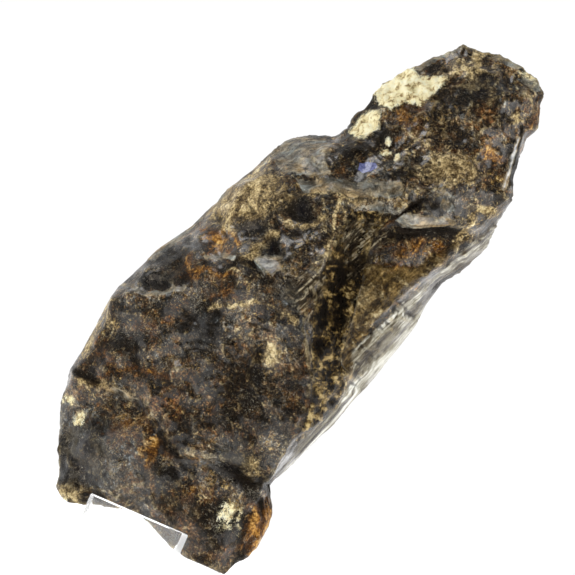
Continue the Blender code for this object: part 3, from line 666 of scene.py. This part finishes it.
# Among the dark bands are painted shadows under the shelf and under the long ledge
DARK_AND_SHADOW_BANDS = [
    ([(11, -12), (10.4, -22), (8, -32)], 2.4, 0.35), ([(22, 17.4), (27.6, 17.0)], 0.8, 0.8),
    ([(28.5, 14.6), (36, 13.9), (42, 13.6)], 0.8, 1.0), ([(27.8, 17.8), (30.5, 20), (34.5, 21.6)], 0.6, 0.9),
    ([(25, 26.9), (28, 27.1), (31, 28.6)], 0.6, 0.8), ([(-15, -44.8), (-7, -49)], 1.2, 1.0),
    ([(-10, -49.5), (-6.8, -54), (-6.2, -58), (-9.5, -64), (-13, -69)], 0.6, 1.0),
    ([(-16, 4.2), (-12.5, 6.4), (-8.5, 5.0), (-3.5, 1.8)], 0.5, 0.8),
    ([(-53, -20.5), (-48, -23.2)], 0.6, 0.9),
    ([(-31.5, -36.5), (-26.5, -41.5)], 0.7, 0.9), ([(13, 2), (6, -2), (4.5, -1)], 0.6, 0.8)]
# Facets of the front that stand out by their tone, some of them painted highlights and the cleft painted
# shade: corners, strength
# Among the pale facets are painted highlights: the lit edge of the right face and a glint in the cleft
PALE_AND_HIGHLIGHT_FACETS = [
    ([(-8.4, 6.6), (-4.9, 8), (-2.9, 7), (-1.2, 4.5), (-3.5, 3)], 1.45),
    ([(15.8, 19), (17.7, 22), (23.6, 21.6), (28, 18.6), (27.6, 17.8), (20.6, 18.6)], 0.6),
    ([(28, 17.5), (30.2, 18.6), (35.3, 17.5), (40.5, 16), (39.7, 15), (30.9, 15), (28.3, 16)], 1.3),
    ([(37, 20), (38, 22.4), (41, 21), (41.4, 19), (39, 18.4)], 0.8),
    ([(4.6, 31), (5.4, 35), (8, 35.6), (10.5, 34), (9.6, 31), (7, 30)], 0.6),
    ([(14.4, -16.5), (20, -13.6), (22.6, -16), (18, -20), (14.8, -24.5)], 0.9),
    ([(57.3, 37.6), (53.4, 24.6), (54.1, 24.4), (57.9, 37.2)], 2.2),
    ([(13.2, 12.2), (15.6, 13.6), (15.9, 13.1), (13.6, 11.8)], 0.9),
    ([(18.9, 3.4), (16.0, -9.0), (13.6, -19.6), (14.0, -19.6), (16.5, -9.0), (19.4, 3.4)], 1.3),
    ([(2, 27), (10, 27.2), (20, 26.5), (28, 26), (28.5, 22.5), (20, 21.8), (12, 22.8), (4, 23.4)], 0.72),
    ([(-4, 33), (0, 36.5), (5.6, 38.4), (9, 37.6), (11, 34), (9.4, 30.5), (12, 28), (6, 27.5),
      (-2, 28.6)], 0.6),
    ([(50.5, 57.4), (53.5, 58.6), (59, 55.2), (57.5, 54.4)], 0.8),
    ([(30.5, 54.4), (34, 57.6), (43.5, 61.3), (44.6, 60.2), (38.6, 57.4), (33, 53.8)], 0.8),
    ([(58, 51.4), (59.5, 54.6), (62.4, 52.2), (64, 49), (61.4, 48.6)], 0.75)]
# The last dark facet covers the cleft with painted shade
DARK_AND_SHADE_FACETS = [
    ([(58.0, 40.6), (59.0, 40), (56.4, 26), (54.4, 24.2), (58.0, 37.4)], 1.0),
    ([(42, 60), (50, 57), (57, 54), (57.5, 47), (50, 44), (41, 45.5), (37, 52)], 0.1),
    ([(18.9, 40.0), (19.4, 41.0), (20.2, 40.9), (20.2, 40.0)], 1.5),
    ([(-0.4, 18.8), (0.6, 21.2), (3.8, 22.9), (6.2, 20.8), (6.9, 17), (4.1, 16), (0.6, 16.7)], 1.0),
    ([(17.7, 17.5), (15.8, 13.5), (13.3, 12.8), (10.3, 7.6), (8.5, 4.3), (3.3, -0.1), (6.6, 0.9),
      (10.7, 2.1), (10.3, -1.2), (8.5, -5.6), (7.4, -9.3), (6.6, -14.5), (9.6, -15.9), (12.5, -13.7),
      (13.3, -9.3), (15.1, -5.6), (17.7, -1.2), (19.1, 2.5), (19.9, 4.7), (17.7, 6.1), (18.8, 8.4),
      (17, 11.3), (18.4, 14.2)], 0.7)]
RIGHT_FACE = [
    (19.4, 6.0), (17.7, -1.4), (15.6, -9.8), (13.4, -17.5), (14.8, -24), (20.5, -9.5), (33, 2), (46, 13),
    (40, 10), (32, 5), (26, 5)]
SPECKLED_WALL = [
    (15.6, 19), (22, 18.8), (25.5, 17.4), (21.4, 12.7), (19.4, 6.0), (17.7, -1.4), (15.6, -9.8), (13.2, -18),
    (14.2, -24), (12.5, -30), (8, -37), (3.5, -41), (2, -38), (4.5, -33), (6.2, -28), (6.2, -12.3),
    (6.6, -2.3), (9.8, 6.9), (12.8, 12.7)]
# Places with fine crisp lines across them: corners, strength
HATCH = [
    ([(2, 1.5), (6, 4.5), (9.5, 3), (8.5, -4), (5.5, -8.5), (2.5, -5)], 0.9),
    ([(13, 14.5), (17, 15.8), (25, 16.6), (24, 11), (20.5, 6), (15.5, 1.5), (14.5, 6)], 0.8)]


def spots(places, bands=(), facets=(), soft=0.5):
    """The strongest of several spots, bands and facets at each point of the front, 0 behind."""
    x, z = look_up(WARPED_X, *own_points.T[[0, 2]]), look_up(WARPED_Z, *own_points.T[[0, 2]])
    masks = [strength * spot(x, z, place) for place, strength in places]
    for line, half_width, strength in bands:
        masks.append(strength * np.clip(1.0 - np.abs(off_line(x, z, line)[0]) / half_width / 2, 0, 1))
    for corners, strength in facets:
        masks.append(strength * facet((x + own_points[:, 0]) / 2, (z + own_points[:, 2]) / 2, corners, soft))
    return np.max(masks, axis=0) * facing_front


def patches(size, seed):
    """Scattered ragged patches behind, where no stains are listed."""
    blobs = 1.1 * noise(own_points, size, seed) + 0.7 * noise(own_points, size / 2.7, seed + 10)
    return (1.0 - facing_front) * np.clip(blobs - 0.15, 0.0, 0.8)


STREAKS_DEPTH = 20.0
facing_front = smooth(0.7 - directions[:, 1] / 0.4)
# The pale channel carries painted highlights and sheen, the dark channel painted shade
stain_and_light_layers = {
    "stains_and_highlights": (spots(GOLD_SPOTS, GOLD_BANDS) + patches(12.0, 41),
               spots(RUST_SPOTS, RUST_BANDS) + patches(10.0, 42),
               spots(CREAM_SPOTS, (), CREAM_FACETS, 2.6),
               spots(PALE_AND_HIGHLIGHT_SPOTS, PALE_AND_SHEEN_BANDS, PALE_AND_HIGHLIGHT_FACETS) + patches(9.0, 43)),
    "shade_and_finishes": (spots(DARK_AND_SHADOW_SPOTS, DARK_AND_SHADOW_BANDS, DARK_AND_SHADE_FACETS), spots(GLASS_SPOTS) + patches(14.0, 44),
                 spots((), (), BLUE_FACETS),
                 (streaked(own_points[:, 0], own_points[:, 2]) / STREAKS_DEPTH + 0.5)
                 * smooth((own_points[:, 2] + 50) / 3))}
for layer_name, channels in stain_and_light_layers.items():
    layer = stone_mesh.attributes.new(layer_name, "FLOAT_COLOR", "POINT")
    layer.data.foreach_set("color", np.stack(channels, axis=1).ravel())
fibre_layer = stone_mesh.attributes.new("fibre_place", "FLOAT_VECTOR", "POINT")
fibre_layer.data.foreach_set("vector", fibre_places(own_points).ravel())
hatch = spots((), (), HATCH, 2.0)
stone_mesh.attributes.new("hatch", "FLOAT", "POINT").data.foreach_set("value", hatch)
for layer_name, corners in (("veil", RIGHT_FACE), ("wall", SPECKLED_WALL)):
    cover = facet(own_points[:, 0], own_points[:, 2], corners, 0.6) * facing_front
    stone_mesh.attributes.new(layer_name, "FLOAT", "POINT").data.foreach_set("value", cover)


def add_node(kind, *sources, **settings):
    """A node with settings, whose inputs are fed in order from sockets or given plain values."""
    node = tree.nodes.new("ShaderNode" + kind)
    for name, value in settings.items():
        setattr(node, name, value)
    for socket, source in zip(node.inputs, sources):
        connect(source, socket)
    return node


def connect(source, socket):
    """Feed an input from a socket, or give it a plain value or colour."""
    if isinstance(source, bpy.types.NodeSocket):
        tree.links.new(source, socket)
    elif isinstance(source, tuple) and len(source) == 3 and socket.type == "RGBA":
        socket.default_value = (*source, 1.0)
    elif source is not None:
        socket.default_value = source


def maths(operation, *sources):
    """The output of a Math node."""
    return add_node("Math", *sources, operation=operation).outputs[0]


def vectors(operation, *sources):
    """The output of a Vector Math node."""
    return add_node("VectorMath", *sources, operation=operation).outputs[0]


def attribute(name, output="Fac"):
    """A value stored on the mesh."""
    return add_node("Attribute", attribute_name=name).outputs[output]


def centre_of(noise_colour):
    """A noise colour as a way to push, from minus a half to a half along each axis."""
    return vectors("SUBTRACT", noise_colour, (0.5, 0.5, 0.5))


def pushed_by(push, far, start):
    """Places moved by a push, so many millimetres for each unit of it."""
    return vectors("MULTIPLY_ADD", push, (far, far, far), start)


def weighted(*terms):
    """The sum of sockets times their weights, with any plain numbers added."""
    total = sum(term for term in terms if isinstance(term, float))
    for socket, weight in (term for term in terms if not isinstance(term, float)):
        total = maths("MULTIPLY_ADD", socket, weight, total)
    return total


def ranged(value, low, high, to_low=0.0, to_high=1.0):
    """A value taken smoothly from one range to another."""
    node = add_node("MapRange", value, low, high, to_low, to_high)
    node.interpolation_type = "SMOOTHSTEP"
    return node.outputs["Result"]


def mixed(factor, first, second, blend="MIX"):
    """Two colours mixed by a factor."""
    node = add_node("Mix", data_type="RGBA", blend_type=blend)
    for name, source in (("Factor_Float", factor), ("A_Color", first), ("B_Color", second)):
        connect(source, next(s for s in node.inputs if s.identifier == name))
    return next(s for s in node.outputs if s.identifier == "Result_Color")


def noise_node(place, scale, detail=4.0, roughness=0.6, distortion=0.0, output="Fac"):
    """A Noise Texture in three dimensions."""
    node = add_node("TexNoise")
    for name, source in (("Vector", place), ("Scale", scale), ("Detail", detail),
                         ("Roughness", roughness), ("Distortion", distortion)):
        connect(source, node.inputs[name])
    return node.outputs[output]


def cells(place, scale):
    """A random value for each cell of a Voronoi Texture, like flat chips side by side."""
    node = add_node("TexVoronoi", feature="F1")
    connect(place, node.inputs["Vector"])
    connect(scale, node.inputs["Scale"])
    return add_node("SeparateColor", node.outputs["Color"]).outputs[0]


def ramp(value, *stops):
    """A colour ramp with straight steps between (place, colour) stops."""
    node = add_node("ValToRGB", value)
    elements = node.color_ramp.elements
    while len(elements) < len(stops):
        elements.new(0.5)
    for element, (position, colour) in zip(elements, stops):
        element.position = position
        element.color = (*colour, 1.0)
    return node.outputs["Color"]


opal = bpy.data.materials.new("resin opal")
opal.use_nodes = True
tree = opal.node_tree
shader = tree.nodes["Principled BSDF"]
place = attribute("own_place", "Vector")
stains_and_highlights = add_node("Attribute", attribute_name="stains_and_highlights")
shade_and_finishes = add_node("Attribute", attribute_name="shade_and_finishes")
# Pale carries painted highlights and sheen as well as pale stone; dark carries painted shade as well as dark
# stone
gold, rust, cream = add_node("SeparateColor", stains_and_highlights.outputs["Color"]).outputs[:3]
dark_and_shade, glassy, blue = add_node("SeparateColor", shade_and_finishes.outputs["Color"]).outputs[:3]
pale_and_highlight, streak = stains_and_highlights.outputs["Alpha"], shade_and_finishes.outputs["Alpha"]

# Places pushed about, so that every pattern below runs in swirls
swirl = noise_node(place, 0.20, 3.0, 0.6, output="Color")
centred = centre_of(swirl)
pushed = pushed_by(centred, 7.0, place)

# The ground: cloudy brown and black opal in small flat chips, mottled down to grains
shake = centre_of(noise_node(place, 0.8, 5.0, 0.7, output="Color"))
jagged = pushed_by(shake, 3.0, place)
chipped = pushed_by(shake, 0.9, place)
big_chips = cells(chipped, 0.22)
small_chips = cells(chipped, 0.75)
clouds = noise_node(pushed, 0.10, 4.0, 0.6)
mottle = noise_node(pushed, 0.36, 8.0, 0.70, 0.2)
grain = noise_node(place, 1.6, 4.0, 0.8, 0.3)
ragged = noise_node(pushed, 0.8, 6.0, 0.75)
creased = maths("ABSOLUTE", weighted((noise_node(pushed, 0.55, 4.0, 0.65, 0.4), 1.0), -0.5))
texture = weighted((clouds, 0.6), (mottle, 1.3), (grain, 1.6), (creased, -0.8), (big_chips, 0.20),
                   (small_chips, 0.18), (dark_and_shade, -0.5), -1.45)
tone = weighted((texture, 1.0), (pale_and_highlight, 0.22))
ground = ramp(tone, (0.20, (0.001, 0.001, 0.001)), (0.36, (0.006, 0.005, 0.0045)),
              (0.48, (0.018, 0.0155, 0.012)), (0.56, (0.037, 0.031, 0.023)),
              (0.66, (0.076, 0.063, 0.046)), (0.80, (0.18, 0.155, 0.118)), (0.95, (0.42, 0.39, 0.33)))
hue = weighted((noise_node(pushed, 0.16, 6.0, 0.7), 0.8), (noise_node(jagged, 0.7, 4.0, 0.7), 0.7),
               (glassy, -0.12), (pale_and_highlight, -0.06), (rust, 0.10), (gold, 0.05), -0.25)
tint = ramp(hue, (0.34, (0.66, 0.90, 1.30)), (0.43, (0.84, 0.94, 1.10)), (0.49, (1.10, 0.96, 0.76)),
            (0.57, (1.4, 0.92, 0.48)), (0.66, (1.6, 0.78, 0.32)))
colour = mixed(1.0, ground, tint, "MULTIPLY")

# Brown-orange washes, gold flecks and pale threads, sparse all over and crowded in their zones
crowding = noise_node(pushed, 0.13, 4.0, 0.6)
wash = ranged(weighted((noise_node(jagged, 0.35, 6.0, 0.70), 1.0), (rust, 0.26), (dark_and_shade, -0.4),
                       (crowding, 0.4), -0.2), 0.58, 0.70)
wash_colour = ramp(weighted((grain, 0.6), (ragged, 0.4)), (0.34, (0.006, 0.003, 0.001)),
                   (0.47, (0.032, 0.013, 0.004)), (0.56, (0.11, 0.044, 0.010)),
                   (0.68, (0.34, 0.17, 0.05)))
colour = mixed(maths("MULTIPLY", wash, 0.8), colour, wash_colour)
fleck_level = weighted((noise_node(jagged, 1.3, 5.0, 0.82), 1.0), (gold, 0.14), (dark_and_shade, -0.22),
                       (ragged, 0.6), (glassy, -0.10), (crowding, 0.5), -0.54)
flecks = ranged(fleck_level, 0.628, 0.660)
fleck_colour = ramp(noise_node(place, 0.8, 5.0, 0.8), (0.38, (0.06, 0.030, 0.008)),
                    (0.48, (0.15, 0.09, 0.026)), (0.57, (0.38, 0.25, 0.075)), (0.68, (0.85, 0.68, 0.30)))
colour = mixed(flecks, colour, fleck_colour)

# Zones with colours of their own, ragged where they meet the ground; the pale zone also holds painted sheen
# and painted highlights
wander = weighted((ragged, 1.2), (mottle, 0.8), -1.0)
veins = maths("ABSOLUTE", weighted((noise_node(jagged, 0.16, 4.0, 0.6, 0.6), 1.0), -0.5))
veins = maths("MULTIPLY", ranged(veins, 0.0, 0.016, 1.0, 0.0), ranged(ragged, 0.46, 0.56))
gold_zone = ranged(weighted((gold, 1.0), (wander, 1.6), (creased, -1.2), (veins, 0.6), 0.08), 0.50, 0.66)
olive_zone = ranged(weighted((gold, 1.0), (wander, 0.8)), 0.25, 0.60)
olive = ramp(texture, (0.15, (0.022, 0.016, 0.009)), (0.34, (0.085, 0.066, 0.038)),
             (0.50, (0.170, 0.137, 0.084)), (0.70, (0.30, 0.255, 0.165)))
colour = mixed(maths("MULTIPLY", olive_zone, 0.7), colour, olive)
ochre = ramp(texture, (0.15, (0.034, 0.021, 0.008)), (0.32, (0.13, 0.092, 0.040)),
             (0.47, (0.31, 0.235, 0.115)), (0.64, (0.60, 0.49, 0.26)), (0.86, (0.90, 0.82, 0.55)))
colour = mixed(maths("MULTIPLY", gold_zone, 0.85), colour, ochre)
rust_zone = ranged(weighted((rust, 1.0), (wander, 1.0)), 0.50, 0.70)
russet = ramp(texture, (0.18, (0.009, 0.003, 0.0005)), (0.36, (0.070, 0.026, 0.003)),
              (0.50, (0.15, 0.064, 0.009)), (0.64, (0.30, 0.145, 0.024)), (0.86, (0.58, 0.36, 0.10)))
colour = mixed(maths("MULTIPLY", rust_zone, 0.85), colour, russet)
orange = maths("MULTIPLY", ranged(weighted((rust, 1.0), (wander, 1.5)), 0.75, 1.1), 0.9)
colour = mixed(orange, colour, ramp(texture, (0.20, (0.05, 0.018, 0.003)), (0.42, (0.27, 0.12, 0.022)),
                                    (0.56, (0.50, 0.27, 0.06)), (0.80, (0.75, 0.50, 0.18))))
# Pale smoky stone, with the painted sheen along the upper left rim
pale_and_sheen_zone = ranged(weighted((pale_and_highlight, 1.0), (wander, 0.8), (gold, -0.2)), 0.45, 0.55)
layers = vectors("MULTIPLY", pushed_by(centred, 2.0, place), (0.4, 1.0, 1.0))
layered = weighted((noise_node(layers, 0.6, 4.0, 0.6), 1.0), (grain, 0.3), (mottle, 0.4), -0.36)
smoky_and_sheen_colour = ramp(layered, (0.28, (0.034, 0.031, 0.026)), (0.40, (0.105, 0.095, 0.076)),
             (0.50, (0.205, 0.186, 0.147)), (0.60, (0.33, 0.305, 0.245)), (0.74, (0.56, 0.53, 0.44)))
smoky_and_sheen_colour = mixed(1.0, smoky_and_sheen_colour, ramp(noise_node(layers, 0.25, 4.0, 0.6), (0.40, (0.76, 0.94, 1.20)),
                               (0.52, (1.0, 0.99, 0.96)), (0.64, (1.25, 1.0, 0.66))), "MULTIPLY")
colour = mixed(maths("MULTIPLY", pale_and_sheen_zone, 0.85), colour, smoky_and_sheen_colour)
# The strongest pale places turn light grey: pale chips, and painted highlights on lit edges
bright_chips_and_highlights = ranged(pale_and_highlight, 1.0, 2.0)
chip_and_highlight_colour = mixed(ranged(layered, 0.35, 0.65), (0.30, 0.33, 0.40), (0.74, 0.75, 0.76))
colour = mixed(maths("MULTIPLY", bright_chips_and_highlights, 0.9), colour, chip_and_highlight_colour)
glass_zone = ranged(weighted((glassy, 1.0), (wander, 1.0)), 0.42, 0.60)
clear_level = weighted((noise_node(pushed, 0.25, 3.0, 0.5), 1.0), (pale_and_highlight, 0.14), (dark_and_shade, -0.16))
clear = ramp(clear_level, (0.30, (0.004, 0.004, 0.006)), (0.46, (0.014, 0.015, 0.018)),
             (0.54, (0.024, 0.022, 0.018)), (0.64, (0.050, 0.045, 0.034)))
colour = mixed(maths("MULTIPLY", glass_zone, 0.75), colour, clear)
threads = maths("ABSOLUTE", weighted((noise_node(pushed, 0.33, 3.0, 0.6, 0.8), 1.0), -0.5))
threads = maths("MULTIPLY", ranged(threads, 0.0, 0.010, 1.0, 0.0), ranged(ragged, 0.5, 0.60))
colour = mixed(maths("MULTIPLY", threads, 0.6), colour, (0.36, 0.33, 0.27))

# Painted glints: small pale specks in the colour that stand for highlights
painted_glints = ranged(weighted((noise_node(jagged, 2.4, 3.0, 0.8), 1.0), (crowding, 0.5), -0.25), 0.655, 0.69)
colour = mixed(maths("MULTIPLY", painted_glints, 0.6), colour, (0.62, 0.58, 0.48))

# The wall of the cleft: black as painted shade, with golden brown blotches of its own
flattened = vectors("MULTIPLY", place, (1.0, 0.15, 1.0))
crumble = centre_of(noise_node(flattened, 0.9, 4.0, 0.7, output="Color"))
crumbled = pushed_by(crumble, 2.4, flattened)
blotches = weighted((noise_node(crumbled, 0.42, 7.0, 0.75), 1.6),
                    (noise_node(crumbled, 1.6, 4.0, 0.75), 0.7), (dark_and_shade, -0.12), (rust, 0.04), -0.64)
wall_shade_and_blotch_colour = ramp(blotches, (0.42, (0.001, 0.0008, 0.0005)), (0.49, (0.010, 0.0065, 0.003)),
                   (0.52, (0.075, 0.045, 0.014)), (0.58, (0.22, 0.150, 0.050)), (0.70, (0.54, 0.43, 0.21)))
cleft_wall = attribute("wall")
wall_cover = ranged(weighted((cleft_wall, 1.0), (wander, 1.5)), 0.40, 0.60)
colour = mixed(wall_cover, colour, wall_shade_and_blotch_colour)

# The streaked side: fibres that run the length of the stone, browner at the fold than beyond it
lengthways = attribute("fibre_place", "Vector")
veil = attribute("veil")
fibre = noise_node(lengthways, 1.2, 4.0, 0.62)
bands = noise_node(lengthways, 0.32, 3.0, 0.55)
beyond = ranged(streak, 0.5, 0.85)
contrast = ranged(beyond, 0.0, 1.0, 1.0, 0.6)
outer = ranged(streak, 0.70, 1.05)
fibre_tone = maths("MULTIPLY", weighted((fibre, 1.4), (bands, 1.4), (grain, 0.25), -1.07), contrast)
fibre_tone = weighted((fibre_tone, 1.0), (beyond, 0.32), (outer, 0.20), (rust, -0.15), -0.04)
fibre_colour = ramp(fibre_tone, (0.24, (0.008, 0.006, 0.004)), (0.36, (0.035, 0.026, 0.016)),
                    (0.46, (0.092, 0.080, 0.056)), (0.56, (0.205, 0.195, 0.150)), (0.68, (0.45, 0.455, 0.41)),
                    (0.82, (0.76, 0.79, 0.78)))
face_tone = weighted((mottle, 1.3), (fibre, 0.5), (grain, 0.5), (clouds, 0.5), (rust, 0.04), -0.96)
face_colour = ramp(face_tone, (0.26, (0.006, 0.004, 0.0015)), (0.42, (0.036, 0.023, 0.008)),
                   (0.54, (0.100, 0.066, 0.022)), (0.66, (0.205, 0.142, 0.052)), (0.82, (0.43, 0.33, 0.16)))
face_cover = weighted((veil, 0.95), (gold, -0.2), (maths("MULTIPLY", rust_zone, veil), -0.5))
colour = mixed(face_cover, colour, face_colour)
hatched = maths("MULTIPLY", attribute("hatch"), ranged(ragged, 0.42, 0.52))
hatch_lines = noise_node(vectors("MULTIPLY", lengthways, (4.0, 1.0, 1.0)), 1.1, 2.0, 0.7)
hatch_colour = ramp(hatch_lines, (0.38, (0.004, 0.003, 0.002)), (0.50, (0.030, 0.022, 0.013)),
                    (0.56, (0.15, 0.12, 0.075)), (0.62, (0.40, 0.36, 0.26)))
colour = mixed(hatched, colour, hatch_colour)
edge = ranged(weighted((streak, 6.0), (ragged, 0.8), -3.4), 0.3, 0.7)
colour = mixed(edge, colour, fibre_colour)

# All of it a little warmer
colour = mixed(1.0, colour, (1.0, 0.95, 0.87), "MULTIPLY")

# Painted light and shade: broken edges are painted lighter where the light comes through them, and creases
# are painted dark with shade
curved = attribute("bend")
painted_edge_highlight = ranged(weighted((curved, 1.0), (ragged, 0.8), -0.4), 0.12, 0.40)
colour = mixed(maths("MULTIPLY", painted_edge_highlight, 0.35), colour, ochre)
painted_crease_shade = ranged(weighted((curved, -1.0), (ragged, 0.6), -0.3), 0.10, 0.36)
colour = mixed(maths("MULTIPLY", painted_crease_shade, 0.75), colour, (0.006, 0.004, 0.003))

# Chalky cream crust and the blue spot
crust_level = weighted((cream, 1.0), (noise_node(jagged, 0.7, 6.0, 0.85), 3.0), -1.48)
crust = maths("MULTIPLY", ranged(crust_level, 0.40, 0.47), ranged(cream, 0.02, 0.12))
crumbs = noise_node(jagged, 0.5, 6.0, 0.75)
crust_colour = ramp(crumbs, (0.36, (0.08, 0.045, 0.018)), (0.42, (0.46, 0.33, 0.15)),
                    (0.46, (0.86, 0.73, 0.40)), (0.52, (1.0, 0.92, 0.59)), (0.62, (1.0, 0.97, 0.76)))
colour = mixed(crust, colour, crust_colour)
blue_cover = ranged(weighted((blue, 1.0), (ragged, 0.6), -0.3), 0.42, 0.58)
colour = mixed(blue_cover, colour, ramp(grain, (0.4, (0.045, 0.055, 0.16)), (0.6, (0.16, 0.18, 0.36))))
connect(colour, shader.inputs["Base Color"])

roughness = ranged(ragged, 0.35, 0.65, 0.22, 0.46)
roughness = maths("MAXIMUM", weighted((roughness, 1.0), (glass_zone, -0.15)), maths("MULTIPLY", crust, 0.85))
connect(roughness, shader.inputs["Roughness"])
gloss = weighted((ranged(clouds, 0.40, 0.62, 0.05, 0.8), 1.0), (glass_zone, -0.15), (dark_and_shade, -1.0),
                 (wall_cover, -1.0), (pale_and_sheen_zone, -0.4), (veil, -0.8), (rust_zone, -0.5),
                 (gold_zone, -0.5))
coat = maths("MULTIPLY", maths("MINIMUM", maths("MAXIMUM", gloss, 0.0), 1.0), maths("SUBTRACT", 1.0, crust))
connect(coat, shader.inputs["Coat Weight"])
shader.inputs["Coat Roughness"].default_value = 0.2
shader.inputs["IOR"].default_value = 1.45
shader.inputs["Specular IOR Level"].default_value = 0.12
shader.inputs["Specular Tint"].default_value = (1.0, 0.80, 0.58, 1.0)

fibre_height = maths("MULTIPLY", fibre, maths("MAXIMUM", edge, veil))
height = weighted((mottle, 0.8), (grain, 0.35), (big_chips, 0.12), (small_chips, 0.10))
height = maths("MULTIPLY", height, weighted((glass_zone, -0.7), 1.0))
height = weighted((height, 1.0), (fibre_height, 0.9), (crust, 0.25), (flecks, 0.05),
                  (maths("MULTIPLY", blotches, wall_cover), 2.0), (maths("MULTIPLY", crumbs, crust), 3.0))
bump = add_node("Bump")
bump.inputs["Strength"].default_value = 0.6
bump.inputs["Distance"].default_value = 0.0009
connect(height, bump.inputs["Height"])
connect(bump.outputs["Normal"], shader.inputs["Normal"])
stone_mesh.materials.append(opal)

# ---------------------------------------------------------------------------------------------
# Acrylic stand: a strip of clear sheet 4 mm thick, bent warm into a foot with a low lip and a
# leaning rest. Its faces are polished and faintly scratched, and its sawn edges are left matt.
# ---------------------------------------------------------------------------------------------
HALF_STRIP = 13.6
HALF_REST = 6.0
NECK = (8.0, 15.0)
LIP_BACK = -19.6
LIP_TOP = 9.7
REST_TOP = 36.0
CUT = 0.15

acrylic = bpy.data.materials.new("clear acrylic")
acrylic.use_nodes = True
tree = acrylic.node_tree
shader = tree.nodes["Principled BSDF"]
row_place = add_node("TexCoord").outputs["Object"]
across, depth, level = add_node("SeparateXYZ", row_place).outputs[:3]
half_width = add_node("MapRange", depth, NECK[0] * MM, NECK[1] * MM, HALF_STRIP * MM,
                      HALF_REST * MM).outputs[0]
beside = maths("SUBTRACT", maths("ABSOLUTE", across), half_width)
side_cut = ranged(beside, -CUT * MM, -0.5 * CUT * MM)
lip_cut = maths("MULTIPLY", ranged(level, (LIP_TOP - CUT) * MM, (LIP_TOP - 0.5 * CUT) * MM),
                ranged(depth, LIP_BACK * MM, (LIP_BACK + 1.0) * MM, 1.0, 0.0))
rest_cut = ranged(level, (REST_TOP - CUT) * MM, (REST_TOP - 0.5 * CUT) * MM)
sawn = maths("MAXIMUM", side_cut, maths("MAXIMUM", lip_cut, rest_cut))
scratches = noise_node(vectors("MULTIPLY", row_place, (2500.0, 180.0, 180.0)), 1.0, 3.0, 0.6)
smears = noise_node(row_place, 90.0, 3.0, 0.6)
polished = ranged(smears, 0.45, 0.70, 0.02, 0.10)
connect(mixed(sawn, (0.96, 0.97, 0.97), (1.0, 1.0, 1.0)), shader.inputs["Base Color"])
connect(maths("MAXIMUM", polished, maths("MULTIPLY", sawn, 0.6)), shader.inputs["Roughness"])
shader.inputs["Transmission Weight"].default_value = 0.94
shader.inputs["IOR"].default_value = 1.49
bump = add_node("Bump")
bump.inputs["Strength"].default_value = 0.08
bump.inputs["Distance"].default_value = 0.0002
connect(scratches, bump.inputs["Height"])
connect(bump.outputs["Normal"], shader.inputs["Normal"])
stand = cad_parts["acrylic_stand"]
for stand_slot in stand.material_slots:
    stand_slot.material = acrylic
